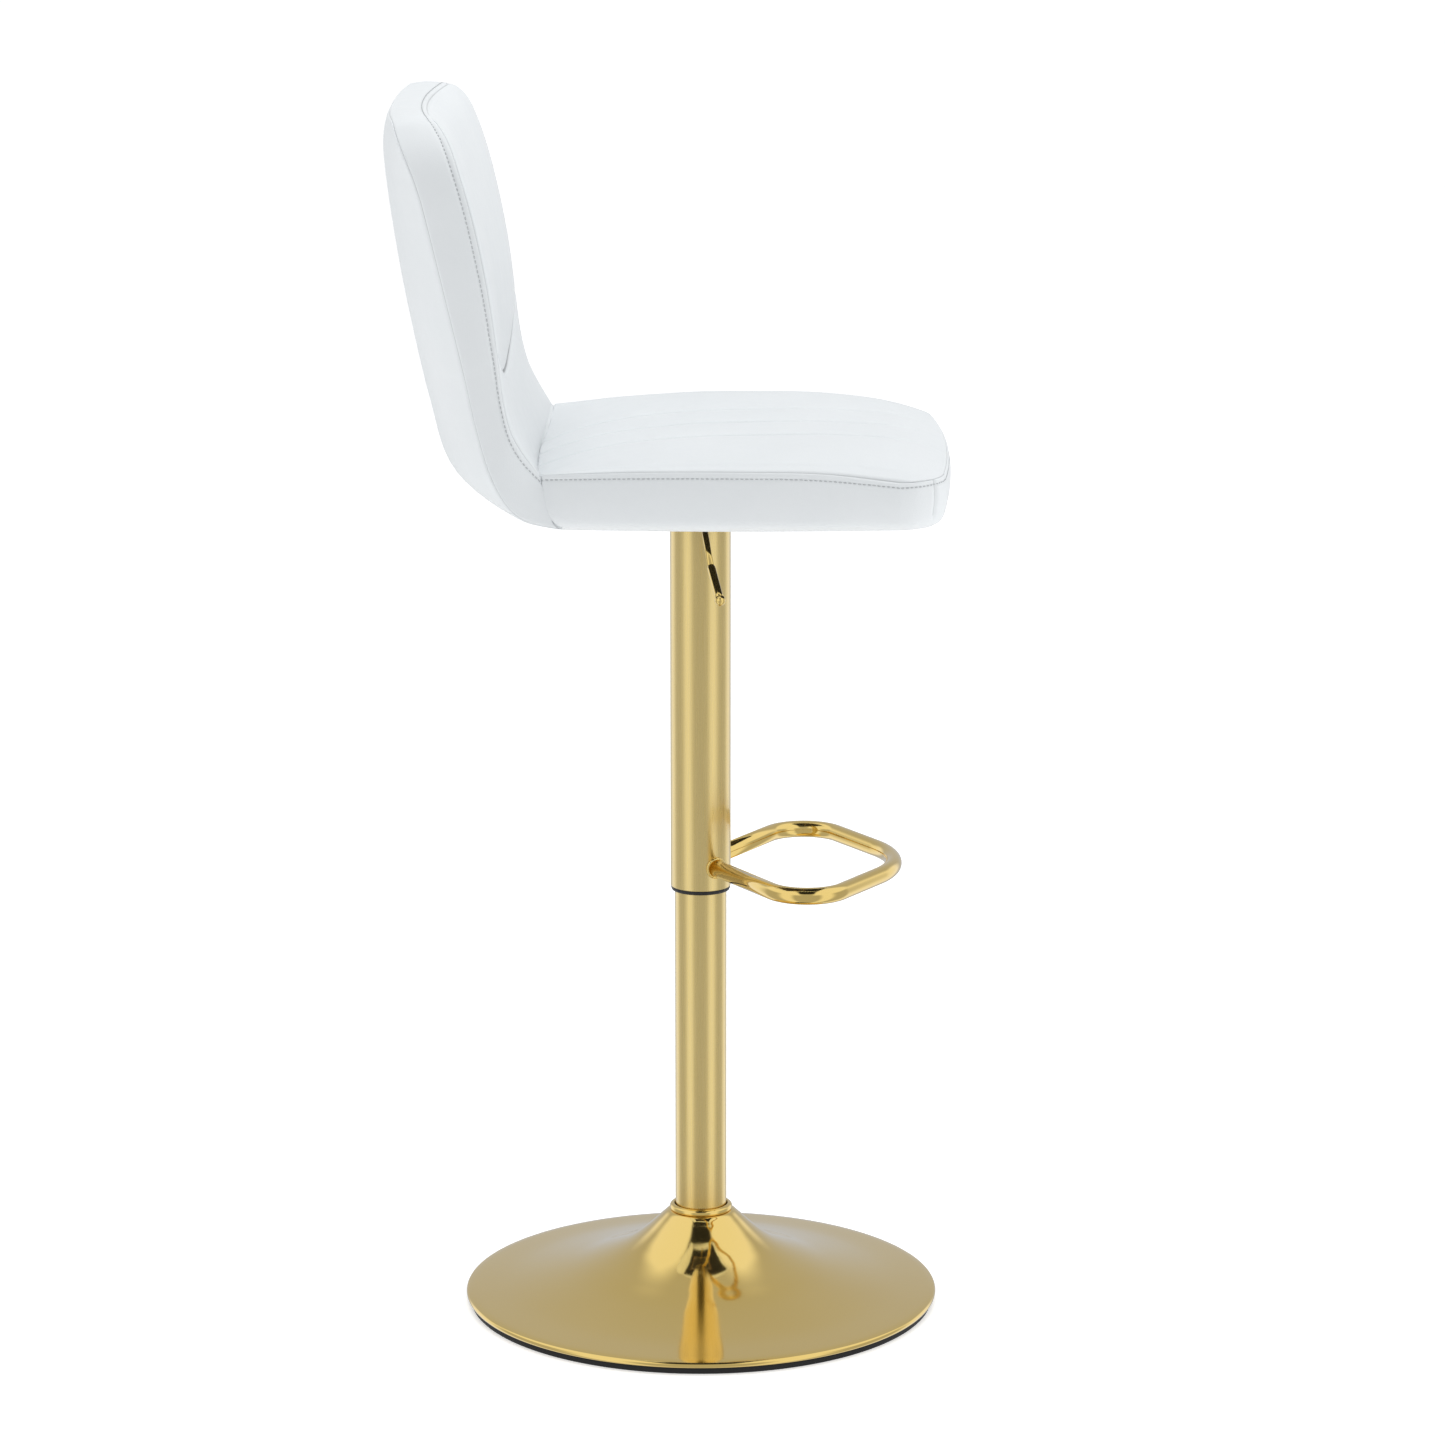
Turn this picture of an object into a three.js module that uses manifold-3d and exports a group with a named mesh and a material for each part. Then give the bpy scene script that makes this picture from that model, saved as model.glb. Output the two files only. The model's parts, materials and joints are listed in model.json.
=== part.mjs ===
// Swivelling, height-adjustable bar stool with a footrest, as an assembly of separate pieces.
// Millimetres. Z is up from the floor and the sitter faces -Y. Every piece is drawn with the column
// on the Z axis, and the whole is then moved so that its middle lies over the origin.
import * as THREE from "three";
import { mergeVertices } from "three/addons/utils/BufferGeometryUtils.js";
import Module from "manifold-3d";

const wasm = await Module();
wasm.setup();

// ---------------------------------------------------------------- driving dimensions
const gap = 0.3; // between pieces that touch
const roundSides = 28; // facets of a turned piece
const diskSides = 56; // facets of the wide base
const smallSides = 10; // facets of a bolt or a pin

const columnForward = 32; // from the middle of the stool's length to the column

const baseRadius = 225;
const coverSheet = 1.2;
const neckHeight = 88.5; // shoulder of the trumpet, where the collar sits
const ringHeight = 5.9; // black ring under the rim
const weightThickness = 6;
const flangeRadius = 58;
const flangeThickness = 6;

const columnRadius = 24.4;
const columnWall = 2;
const columnBottom = 9.6;
const columnTop = 525;

const coverTubeRadius = 28.3;
const coverTubeWall = 1.5;
const coverTubeBottom = 409;
const coverTubeTop = 762;

const rodRadius = 5;
const cylinderRadius = 14;
const cylinderWall = 1.6;
const cylinderBottom = 300;
const cylinderTop = 772;
const taperStart = 742; // where the cylinder's upper end begins to narrow
const taper = 0.9; // how much its radius loses by the top

const footrestHeight = 431;
const footrestTube = 8; // radius
const footrestHalfWidth = 162; // to the corner where the straight runs would meet
const footrestFront = 200; // to the corner where the front runs would meet
const footrestSideCorner = 98; // how far forward that side corner lies
const footrestSideBend = 38;
const footrestFrontBend = 100;

const seatHalfWidth = 210;
const seatRear = 141;
const seatFront = -229;
const seatUnderside = 786.5;
const seatCorner = 38; // radius of the front corners
const frontBow = 12; // how far the middle of the front edge stands ahead of its ends
const seatWidest = -40; // where along its length the seat is widest
const seatNarrowing = 0.1; // share of its width that it loses by its front and rear ends
const boardBottom = 788.8;
const boardThickness = 12;
const boardHalfWidth = 178;
const boardFront = -206;
const boardRear = 124;
const boardCorner = 32;

const backHalfWidth = 202;
const backTop = 1154;
const backCornerRadius = 65;
const backFootNarrowing = 13; // at each side, where the back rises from the seat
const backFootShare = 0.25; // how much of the back's length that takes
const backBoardThickness = 10;

const plateHalfX = 90;
const plateHalfY = 80;
const plateThickness = 3;
const plateBoltX = 75;
const plateBoltY = 65;
const housingHalfX = 50;
const housingHalfY = 32;
const housingBottom = 765.5;
const housingWall = 3;

const leverPivotX = -34;
const leverPivotZ = 775.5;
const leverRodRadius = 3;

// ---------------------------------------------------------------- worked out from them
const coverTubeInner = coverTubeRadius - coverTubeWall;
const columnInner = columnRadius - columnWall;
const cylinderInner = cylinderRadius - cylinderWall;
const ringRadius = baseRadius - 4;
const ringLedgeRadius = ringRadius - 14.7;
const weightBottom = 3 + gap;
const weightTop = weightBottom + weightThickness;
const flangeTop = columnBottom + flangeThickness;
const plateTop = boardBottom - gap;
const plateBottom = plateTop - plateThickness;
const housingTop = plateBottom - gap;
const boardTop = boardBottom + boardThickness;

// ---------------------------------------------------------------- materials
const finish = (color, roughness, metalness) =>
  new THREE.MeshStandardMaterial({ color, roughness, metalness });
const polishedGold = () => finish(0xd0a850, 0.08, 1);
const satinGold = () => finish(0xc8a860, 0.3, 1);
const steel = () => finish(0x8c8f92, 0.4, 1);
const blackRubber = () => finish(0x141414, 0.7, 0);
const blackPlastic = () => finish(0x1b1b1c, 0.45, 0);
const whiteLeather = () => finish(0xeceef0, 0.5, 0);
const plywood = () => finish(0xc7a274, 0.7, 0);
const feltBlack = () => finish(0x202022, 0.95, 0);
const nylon = () => finish(0xe4e2da, 0.5, 0);

// ---------------------------------------------------------------- geometry helpers
// A turned piece on the Z axis. The [radius, height] outline runs counter-clockwise.
function turned(outline, sides = roundSides) {
  const points = outline.map(([r, z]) => new THREE.Vector2(r, z));
  return new THREE.LatheGeometry(points, sides).rotateX(Math.PI / 2);
}

function disc(radius, bottom, top, sides = roundSides) {
  return turned([[0, bottom], [radius, bottom], [radius, top], [0, top]], sides);
}

function ring(inner, outer, bottom, top, sides = roundSides) {
  return turned(
    [[inner, bottom], [outer, bottom], [outer, top], [inner, top], [inner, bottom]],
    sides,
  );
}

// A block between two opposite corners.
function block([x0, y0, z0], [x1, y1, z1]) {
  const box = new THREE.BoxGeometry(x1 - x0, y1 - y0, z1 - z0);
  return box.translate((x0 + x1) / 2, (y0 + y1) / 2, (z0 + z1) / 2);
}

function solidOf(geometry) {
  const bare = new THREE.BufferGeometry();
  bare.setAttribute("position", geometry.getAttribute("position").clone());
  if (geometry.index) bare.setIndex(geometry.index);
  const merged = mergeVertices(bare, 1e-4);
  return new wasm.Manifold(
    new wasm.Mesh({
      numProp: 3,
      vertProperties: new Float32Array(merged.getAttribute("position").array),
      triVerts: new Uint32Array(merged.index.array),
    }),
  );
}

function geometryOf(solid) {
  const mesh = solid.getMesh();
  const geometry = new THREE.BufferGeometry();
  geometry.setAttribute("position", new THREE.BufferAttribute(mesh.vertProperties, 3));
  geometry.setIndex(new THREE.BufferAttribute(mesh.triVerts, 1));
  return geometry;
}

function joined(first, ...others) {
  return geometryOf(others.reduce((sum, piece) => sum.add(solidOf(piece)), solidOf(first)));
}

function cut(stock, ...tools) {
  return geometryOf(tools.reduce((left, tool) => left.subtract(solidOf(tool)), solidOf(stock)));
}

// A round bar along a curve, closed at both ends.
function barAlong(curve, radius, steps, sides = 16) {
  const section = new THREE.Shape();
  section.absarc(0, 0, radius, 0, 2 * Math.PI);
  return new THREE.ExtrudeGeometry(section, {
    extrudePath: curve,
    steps,
    curveSegments: sides / 2,
  });
}

// A closed slab between two sheets of points, each a function of u (0..1 across) and v (0..1 along).
// The second sheet lies on the side that u x v points to.
function slab(lowerSheet, upperSheet, across, along) {
  const positions = [];
  const faces = [];
  for (const sheet of [lowerSheet, upperSheet])
    for (let j = 0; j <= along; j++)
      for (let i = 0; i <= across; i++) positions.push(...sheet(i / across, j / along));
  const layer = (across + 1) * (along + 1);
  const at = (i, j, k) => k * layer + j * (across + 1) + i;
  const quad = (a, b, c, d) => faces.push(a, b, c, a, c, d);
  for (let j = 0; j < along; j++)
    for (let i = 0; i < across; i++) {
      quad(at(i, j, 0), at(i, j + 1, 0), at(i + 1, j + 1, 0), at(i + 1, j, 0));
      quad(at(i, j, 1), at(i + 1, j, 1), at(i + 1, j + 1, 1), at(i, j + 1, 1));
    }
  for (let i = 0; i < across; i++) {
    quad(at(i, 0, 0), at(i + 1, 0, 0), at(i + 1, 0, 1), at(i, 0, 1));
    quad(at(i, along, 0), at(i, along, 1), at(i + 1, along, 1), at(i + 1, along, 0));
  }
  for (let j = 0; j < along; j++) {
    quad(at(0, j, 0), at(0, j, 1), at(0, j + 1, 1), at(0, j + 1, 0));
    quad(at(across, j, 0), at(across, j + 1, 0), at(across, j + 1, 1), at(across, j, 1));
  }
  const geometry = new THREE.BufferGeometry();
  geometry.setAttribute("position", new THREE.Float32BufferAttribute(positions, 3));
  geometry.setIndex(faces);
  return geometry;
}

// The outline of a rounded rectangle, as a plate from bottom to top.
function roundedPlate([x0, y0], [x1, y1], radius, bottom, top) {
  const s = new THREE.Shape();
  s.moveTo(x0 + radius, y0);
  s.lineTo(x1 - radius, y0);
  s.absarc(x1 - radius, y0 + radius, radius, -Math.PI / 2, 0);
  s.lineTo(x1, y1);
  s.lineTo(x0, y1);
  s.absarc(x0 + radius, y0 + radius, radius, Math.PI, 1.5 * Math.PI);
  const plate = new THREE.ExtrudeGeometry(s, {
    depth: top - bottom,
    bevelEnabled: false,
    curveSegments: 6,
  });
  return plate.translate(0, 0, bottom);
}

// A hexagon-headed bolt, shank up, with the underside of its head at seatZ.
function hexBolt(x, y, seatZ, headRadius, headHeight, shankRadius, shankLength) {
  const head = disc(headRadius, seatZ - headHeight, seatZ, 6);
  const shank = disc(shankRadius, seatZ - 1, seatZ + shankLength, smallSides);
  return joined(head, shank).translate(x, y, 0);
}

// The four corners, at +-x and +-y.
const corners = (x, y) => [[-x, -y], [x, -y], [-x, y], [x, y]];

// ---------------------------------------------------------------- base
// The trumpet's outer face, from the shoulder under the collar out to the rolled rim.
function trumpetCurve() {
  const through = [
    [26, neckHeight], [31, neckHeight - 0.2], [38, 82.5], [51, 71], [69, 57],
    [93, 41.5], [128, 26.8], [176, 17], [baseRadius - 5, 12.6],
  ];
  const curve = new THREE.SplineCurve(through.map(([r, z]) => new THREE.Vector2(r, z)));
  return curve.getPoints(14);
}

function baseCover() {
  const outer = trumpetCurve();
  const inner = outer.map((p, i) => {
    const before = outer[Math.max(i - 1, 0)];
    const after = outer[Math.min(i + 1, outer.length - 1)];
    const along = after.clone().sub(before).normalize();
    return new THREE.Vector2(p.x + along.y * coverSheet, p.y - along.x * coverSheet);
  });
  const lip = 3; // radius of the rolled rim
  const lipMiddle = new THREE.Vector2(baseRadius - lip, ringHeight + gap + lip);
  const roll = [];
  for (let step = 1; step < 8; step++) {
    const angle = Math.PI / 2 - (step / 8) * Math.PI;
    roll.push([lipMiddle.x + lip * Math.cos(angle), lipMiddle.y + lip * Math.sin(angle)]);
  }
  const rollUnder = [[lipMiddle.x - 1, lipMiddle.y - lip], [lipMiddle.x - 2, lipMiddle.y - 1]];
  const outline = [
    ...inner.map((p) => [p.x, p.y]),
    ...rollUnder.reverse(),
    ...roll.reverse(),
    ...outer.map((p) => [p.x, p.y]).reverse(),
  ];
  return turned([...outline, outline[0]], diskSides);
}

function baseCollar() {
  const inner = columnRadius + 0.8;
  const outer = 29.8;
  const bottom = neckHeight + gap;
  const top = 95;
  return turned([
    [inner, bottom], [outer - 1.2, bottom], [outer, bottom + 1.3], [outer, top - 1.8],
    [outer - 1.4, top], [inner + 1.4, top], [inner, top - 1.4], [inner, bottom],
  ]);
}

function floorRing() {
  const inner = ringLedgeRadius - 6.3;
  return turned([
    [inner, 0], [ringRadius - 1.5, 0], [ringRadius, 1.5], [ringRadius, ringHeight],
    [ringLedgeRadius, ringHeight], [ringLedgeRadius, 3], [inner, 3], [inner, 0],
  ], diskSides);
}

const flangeBoltCircle = 44;
const flangeBoltRadius = 4;
const flangeBolts = [0, 1, 2].map((i) => {
  const angle = Math.PI / 2 + (i * 2 * Math.PI) / 3;
  return [flangeBoltCircle * Math.cos(angle), flangeBoltCircle * Math.sin(angle)];
});

function boltHoles(bottom, top) {
  return flangeBolts.map(([x, y]) =>
    disc(flangeBoltRadius + 0.4, bottom, top, smallSides).translate(x, y, 0));
}

function baseWeight() {
  const plate = ring(12, ringLedgeRadius - gap, weightBottom, weightTop, diskSides);
  return cut(plate, ...boltHoles(0, weightTop + 1));
}

function columnTube() {
  const rodHole = 7; // through the tube's closed foot
  return turned([
    [rodHole, columnBottom], [columnRadius, columnBottom], [columnRadius, columnTop],
    [columnInner, columnTop], [columnInner, flangeTop], [rodHole, flangeTop],
    [rodHole, columnBottom],
  ]);
}

function columnFlange() {
  const plate = ring(columnRadius + gap, flangeRadius, columnBottom, flangeTop);
  return cut(plate, ...boltHoles(0, flangeTop + 1));
}

// A flange bolt hangs head up, so the upright bolt is turned over about its seat.
function flangeBolt([x, y]) {
  const seat = flangeTop + gap;
  const bolt = hexBolt(0, 0, 0, 7, 5.5, flangeBoltRadius, 12);
  return bolt.rotateX(Math.PI).translate(x, y, seat);
}

function guideSleeve() {
  const bore = cylinderRadius + gap;
  const top = columnTop + gap;
  return turned([
    [bore, columnTop - 75], [columnInner - gap, columnTop - 75], [columnInner - gap, top],
    [columnRadius, top], [columnRadius, top + 3], [bore, top + 3], [bore, columnTop - 75],
  ]);
}

const bearingBottom = flangeTop + gap;
const bearingStack = [
  ["bearing_race_lower", 1.5],
  ["bearing_ball_cage", 4],
  ["bearing_race_upper", 1.5],
];

// ---------------------------------------------------------------- gas rod
const rodShoulderBottom = bearingBottom + 7 + 3 * gap;

function pistonRod() {
  const top = cylinderBottom + 31;
  return turned([
    [0, 6], [rodRadius, 6], [rodRadius, rodShoulderBottom], [8, rodShoulderBottom],
    [8, rodShoulderBottom + 6], [rodRadius, rodShoulderBottom + 6], [rodRadius, top], [0, top],
  ], 24);
}

// ---------------------------------------------------------------- seat mechanism and column cover
function gasCylinder() {
  const tip = cylinderRadius - taper;
  const valveHole = 3.4;
  const rodHole = rodRadius + 0.4;
  return turned([
    [rodHole, cylinderBottom], [cylinderRadius, cylinderBottom], [cylinderRadius, taperStart],
    [tip, cylinderTop], [valveHole, cylinderTop], [valveHole, cylinderTop - 6],
    [cylinderInner, cylinderTop - 6], [cylinderInner, cylinderBottom + 4],
    [rodHole, cylinderBottom + 4], [rodHole, cylinderBottom],
  ]);
}

const socketRadius = 18.5;
const socketBottom = taperStart + 0.5;
const capBottom = taperStart + 2;

function coverCap() {
  const bore = socketRadius + 0.4;
  const top = housingBottom - gap;
  return turned([
    [bore, capBottom], [coverTubeInner - gap, capBottom],
    [coverTubeInner - gap, coverTubeTop + gap], [coverTubeRadius, coverTubeTop + gap],
    [coverTubeRadius, top], [bore, top], [bore, capBottom],
  ]);
}

function guideRing() {
  const bore = columnRadius + 0.4;
  const lipTop = coverTubeBottom - gap;
  const lip = coverTubeRadius - 0.4;
  return turned([
    [bore, lipTop - 3.5], [lip - 0.7, lipTop - 3.5], [lip, lipTop - 2.1], [lip, lipTop],
    [coverTubeInner - gap, lipTop], [coverTubeInner - gap, lipTop + 31],
    [bore, lipTop + 31], [bore, lipTop - 3.5],
  ]);
}

function mechanismHousing() {
  const innerX = housingHalfX - housingWall;
  const innerY = housingHalfY - housingWall;
  const floor = housingBottom + housingWall;
  const tray = cut(
    block([-housingHalfX, -housingHalfY, housingBottom], [housingHalfX, housingHalfY, housingTop]),
    block([-innerX, -innerY, floor], [innerX, innerY, housingTop + 1]),
  );
  const withSocket = joined(tray, disc(socketRadius, socketBottom, floor + 1));
  const bore = cylinderRadius + gap + 0.05;
  const taperBore = turned([
    [0, taperStart], [bore, taperStart], [bore - taper, cylinderTop], [0, cylinderTop],
  ]);
  const slotBottom = floor + 0.5;
  const leverSlot = block([-housingHalfX - 1, -7, slotBottom], [-innerX + 1, 7, housingTop + 1]);
  const pinHole = disc(2.9, -40, 40, smallSides).rotateX(Math.PI / 2);
  return cut(withSocket, taperBore, leverSlot, pinHole.translate(leverPivotX, 0, leverPivotZ));
}

function seatPlate() {
  const plate = roundedSlabPlate(plateHalfX, plateHalfY, plateBottom, plateTop);
  const holes = corners(plateBoltX, plateBoltY).map(([x, y]) =>
    disc(4.4, plateBottom - 1, plateTop + 1, smallSides).translate(x, y, 0));
  return cut(plate, ...holes);
}

// A plate with four rounded corners, centred on the column.
function roundedSlabPlate(halfX, halfY, bottom, top) {
  const radius = 12;
  const s = new THREE.Shape();
  s.absarc(halfX - radius, -halfY + radius, radius, -Math.PI / 2, 0);
  s.absarc(halfX - radius, halfY - radius, radius, 0, Math.PI / 2);
  s.absarc(-halfX + radius, halfY - radius, radius, Math.PI / 2, Math.PI);
  s.absarc(-halfX + radius, -halfY + radius, radius, Math.PI, 1.5 * Math.PI);
  const plate = new THREE.ExtrudeGeometry(s, {
    depth: top - bottom,
    bevelEnabled: false,
    curveSegments: 4,
  });
  return plate.translate(0, 0, bottom);
}

// ---------------------------------------------------------------- footrest
// One tube, from the column's left side round the front to its right side, coped to the column cover.
const footrestInset = 2; // how far inside the cover tube's wall its middle line starts
const coverTubeSpace = () =>
  disc(coverTubeRadius + gap, footrestHeight - 30, footrestHeight + 30);

function footrest() {
  return cut(barAlong(footrestCurve(), footrestTube, 56, 12), coverTubeSpace());
}

function footrestCurve() {
  const slope = footrestSideCorner - 4;
  const reach = coverTubeRadius - footrestInset;
  const arm = new THREE.Vector2(footrestHalfWidth, -slope).normalize();
  const start = new THREE.Vector2(arm.x * reach, arm.y * reach + 3);
  const side = new THREE.Vector2(footrestHalfWidth, -footrestSideCorner);
  const front = new THREE.Vector2(0, -footrestFront);
  const mirror = (p) => new THREE.Vector2(-p.x, p.y);
  const path = new THREE.CurvePath();
  const lift = (p) => new THREE.Vector3(p.x, p.y, footrestHeight);
  let from = start;
  const turns = [
    [start, side, front, footrestSideBend],
    [side, front, mirror(side), footrestFrontBend],
    [front, mirror(side), mirror(start), footrestSideBend],
  ];
  for (const [before, corner, after, radius] of turns) {
    const bend = filletArc(before, corner, after, radius);
    path.add(new THREE.LineCurve3(lift(from), lift(bend[0])));
    for (let i = 0; i + 1 < bend.length; i++)
      path.add(new THREE.LineCurve3(lift(bend[i]), lift(bend[i + 1])));
    from = bend[bend.length - 1];
  }
  path.add(new THREE.LineCurve3(lift(from), lift(mirror(start))));
  return new THREE.CatmullRomCurve3(cornerPoints(path), false, "centripetal");
}

// The points of an arc of the given radius that rounds off a corner.
function filletArc(before, corner, after, radius) {
  const toBefore = before.clone().sub(corner).normalize();
  const toAfter = after.clone().sub(corner).normalize();
  const half = Math.acos(toBefore.dot(toAfter)) / 2;
  const middle = toBefore.clone().add(toAfter).normalize();
  const centre = corner.clone().addScaledVector(middle, radius / Math.sin(half));
  const tangentLength = radius / Math.tan(half);
  const first = corner.clone().addScaledVector(toBefore, tangentLength);
  const last = corner.clone().addScaledVector(toAfter, tangentLength);
  const a = first.clone().sub(centre);
  const b = last.clone().sub(centre);
  const total = Math.acos(a.dot(b) / (radius * radius));
  const steps = 5;
  return Array.from({ length: steps + 1 }, (_, i) => {
    const share = i / steps;
    const wa = Math.sin((1 - share) * total) / Math.sin(total);
    const wb = Math.sin(share * total) / Math.sin(total);
    return centre.clone().addScaledVector(a, wa).addScaledVector(b, wb);
  });
}

// The end points of a path's pieces, with one more in the middle of each long straight.
function cornerPoints(path) {
  const points = [path.curves[0].v1];
  for (const piece of path.curves) {
    if (piece.getLength() > 30) points.push(piece.getPoint(0.15), piece.getPoint(0.85));
    points.push(piece.v2);
  }
  return points;
}

// A fillet weld where a footrest arm meets the cover tube; side is 1 or -1.
function weldBead(side) {
  const curve = footrestCurve();
  const end = side > 0 ? 0 : 1;
  const at = curve.getPoint(end);
  const outward = curve.getTangent(end).multiplyScalar(side);
  const bore = footrestTube + gap;
  const rest = bore + 3.2;
  const bead = turned([
    [bore, -4], [rest, -4], [rest, footrestInset + 0.4], [rest - 0.8, footrestInset + 2.2],
    [bore, footrestInset + 3.6], [bore, -4],
  ], 20);
  const turn = new THREE.Quaternion().setFromUnitVectors(new THREE.Vector3(0, 0, 1), outward);
  bead.applyQuaternion(turn).translate(at.x, at.y, at.z);
  return cut(bead, coverTubeSpace());
}

// ---------------------------------------------------------------- lever
const leverBend = new THREE.Vector3(-115, -4.4, 771);
const leverNeck = new THREE.Vector3(-142, -9, 748);
const leverEnd = new THREE.Vector3(-175, -18, 720.5);

function leverRod() {
  const start = new THREE.Vector3(leverPivotX - 5.5 - gap, 0, leverPivotZ - 0.2);
  const before = leverBend.clone().lerp(start, 0.16);
  const after = leverBend.clone().lerp(leverNeck, 0.35);
  const path = new THREE.CatmullRomCurve3([
    start, start.clone().lerp(before, 0.5), before, leverBend.clone().lerp(before, 0.35), after,
    leverNeck,
  ]);
  const bar = barAlong(path, leverRodRadius, 16, 10);
  const core = alongLever(disc(2.4, -3, leverLength() - 0.5, 12), leverNeck);
  return joined(bar, core);
}

const leverLength = () => leverEnd.distanceTo(leverNeck);

// Turns a piece made on the Z axis so that it points down the lever's end.
function alongLever(geometry, from) {
  const axis = leverEnd.clone().sub(leverNeck).normalize();
  const turn = new THREE.Quaternion().setFromUnitVectors(new THREE.Vector3(0, 0, 1), axis);
  return geometry.applyQuaternion(turn).translate(from.x, from.y, from.z);
}

function leverGrip() {
  const length = leverLength();
  return alongLever(turned([
    [2.7, 7], [3.2, 7], [3.9, 8.2], [3.9, length - 1], [2.7, length - 1], [2.7, 7],
  ], 20), leverNeck);
}

function leverEndCap() {
  const foot = leverLength() - 1 + gap;
  return alongLever(turned([
    [0, foot + 1], [2.7, foot + 1], [2.7, foot], [4.2, foot], [4.9, foot + 1.2],
    [4.7, foot + 4], [3.4, foot + 6.2], [1.6, foot + 7.2], [0, foot + 7.5],
  ], 20), leverNeck);
}

function leverCrank() {
  const pivot = (radius, half) =>
    disc(radius, -half, half, 18).rotateX(Math.PI / 2).translate(leverPivotX, 0, leverPivotZ);
  const blade = block([leverPivotX, -6, 778], [5, 6, 781]);
  return cut(joined(pivot(5.5, 6), blade), pivot(2.8, 20));
}

function leverPivotPin() {
  const half = housingHalfY + 2;
  return disc(2.5, -half, half, smallSides).rotateX(Math.PI / 2)
    .translate(leverPivotX, 0, leverPivotZ);
}

// ---------------------------------------------------------------- brackets between seat and back
// A bent steel strap, screwed to the top of the seat board and to the front of the back board.
const bracketX = 75;
const bracketWidth = 30;
const bracketSheet = 3;
const bracketLine = [[78, 802.6], [133, 802.6], [146, 816.5], [167.5, 829], [182, 846], [193.4, 869]]
  .map(([y, z]) => new THREE.Vector2(y, z));
const screwSpots = [0.22, 0.7].map((share) => [0, share]).concat([0.3, 0.75].map((share) => [4, share]));

// The strap's side outline, thickened by half its sheet, swept across its width.
function bracket(side, spare = 0) {
  const half = bracketSheet / 2 + spare;
  const edge = (sign) => bracketLine.map((p, i) => {
    const before = bracketLine[Math.max(i - 1, 0)];
    const after = bracketLine[Math.min(i + 1, bracketLine.length - 1)];
    const along = after.clone().sub(before).normalize();
    return new THREE.Vector2(p.x - sign * along.y * half, p.y + sign * along.x * half);
  });
  const outline = new THREE.Shape([...edge(-1), ...edge(1).reverse()]);
  const width = bracketWidth + 2 * spare;
  const strap = new THREE.ExtrudeGeometry(outline, { depth: width, bevelEnabled: false });
  const upright = new THREE.Matrix4().makeBasis(
    new THREE.Vector3(0, 1, 0), new THREE.Vector3(0, 0, 1), new THREE.Vector3(1, 0, 0));
  return strap.applyMatrix4(upright).translate(side * bracketX - width / 2, 0, 0);
}

// A pan-headed screw through the strap, on one stretch of its line at a share of its length.
function bracketScrew(side, [stretch, share], spare = 0) {
  const from = bracketLine[stretch];
  const to = bracketLine[stretch + 1];
  const spot = from.clone().lerp(to, share);
  const along = to.clone().sub(from).normalize();
  const into = new THREE.Vector3(0, along.y, -along.x);
  const headBottom = -bracketSheet / 2 - 0.5;
  const shankLength = 12.5;
  const screw = joined(
    disc(4.2 + spare, headBottom - 2 - spare, headBottom, smallSides),
    disc(2 + spare, headBottom - 1, shankLength + spare, smallSides),
  );
  const turn = new THREE.Quaternion().setFromUnitVectors(new THREE.Vector3(0, 0, 1), into);
  return screw.applyQuaternion(turn).translate(side * bracketX, spot.x, spot.y);
}

const sides = [-1, 1];
const allScrews = (spare) =>
  sides.flatMap((side) => screwSpots.map((spot) => bracketScrew(side, spot, spare)));
const bracketSpace = [...sides.map((side) => bracket(side, 0.5)), ...allScrews(0.4)];

// ---------------------------------------------------------------- seat
// Height of the top seam along the side, and of the middle of the seat, from rear to front.
const seamHeights = [[141, 838], [60, 842], [-60, 843.6], [-150, 841], [-229, 831.5]];
const middleHeights = [
  [141, 820], [112, 833], [80, 842], [26, 849.5], [-55, 853.5], [-136, 853], [-190, 849],
  [-214, 842], [-229, 832],
];

// Reads a table of [position, value] pairs that run from rear to front.
function readOff(table, position) {
  const next = table.findIndex(([p]) => p <= position);
  if (next <= 0) return table[next < 0 ? table.length - 1 : 0][1];
  const [p0, v0] = table[next - 1];
  const [p1, v1] = table[next];
  return v0 + ((v1 - v0) * (position - p0)) / (p1 - p0);
}

// The seat's plan: halves of its width and the front edge's rounded corners.
function seatPlan(u, v) {
  const side = Math.sin((u - 0.5) * Math.PI);
  const x = side * seatHalfWidth;
  const beyond = Math.max(Math.abs(x) - (seatHalfWidth - seatCorner), 0);
  const cornerCurve = seatCorner - Math.sqrt(seatCorner ** 2 - beyond ** 2);
  const frontCurve = frontBow * side * side + cornerCurve;
  const y = seatRear + v * (seatFront + frontCurve - seatRear);
  const fromWidest = (y - seatWidest) / ((seatRear - seatFront) / 2);
  return [x * (1 - seatNarrowing * fromWidest ** 2), y, side];
}

function seatCushion() {
  const bottom = (u, v) => {
    const [x, y] = seatPlan(u, v);
    return [x, y, seatUnderside];
  };
  const top = (u, v) => {
    const [x, y, side] = seatPlan(u, v);
    const seam = readOff(seamHeights, y);
    const crown = (readOff(middleHeights, y) - seam) * (1 - Math.abs(side) ** 4);
    return [x, y, seam + crown];
  };
  const pocket = roundedPlate(
    [-boardHalfWidth - 0.4, boardFront - 0.4], [boardHalfWidth + 0.4, seatRear + 10],
    boardCorner, seatUnderside - 5, boardTop + gap,
  );
  return cut(slab(top, bottom, 14, 18), pocket, ...bracketSpace);
}

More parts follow.
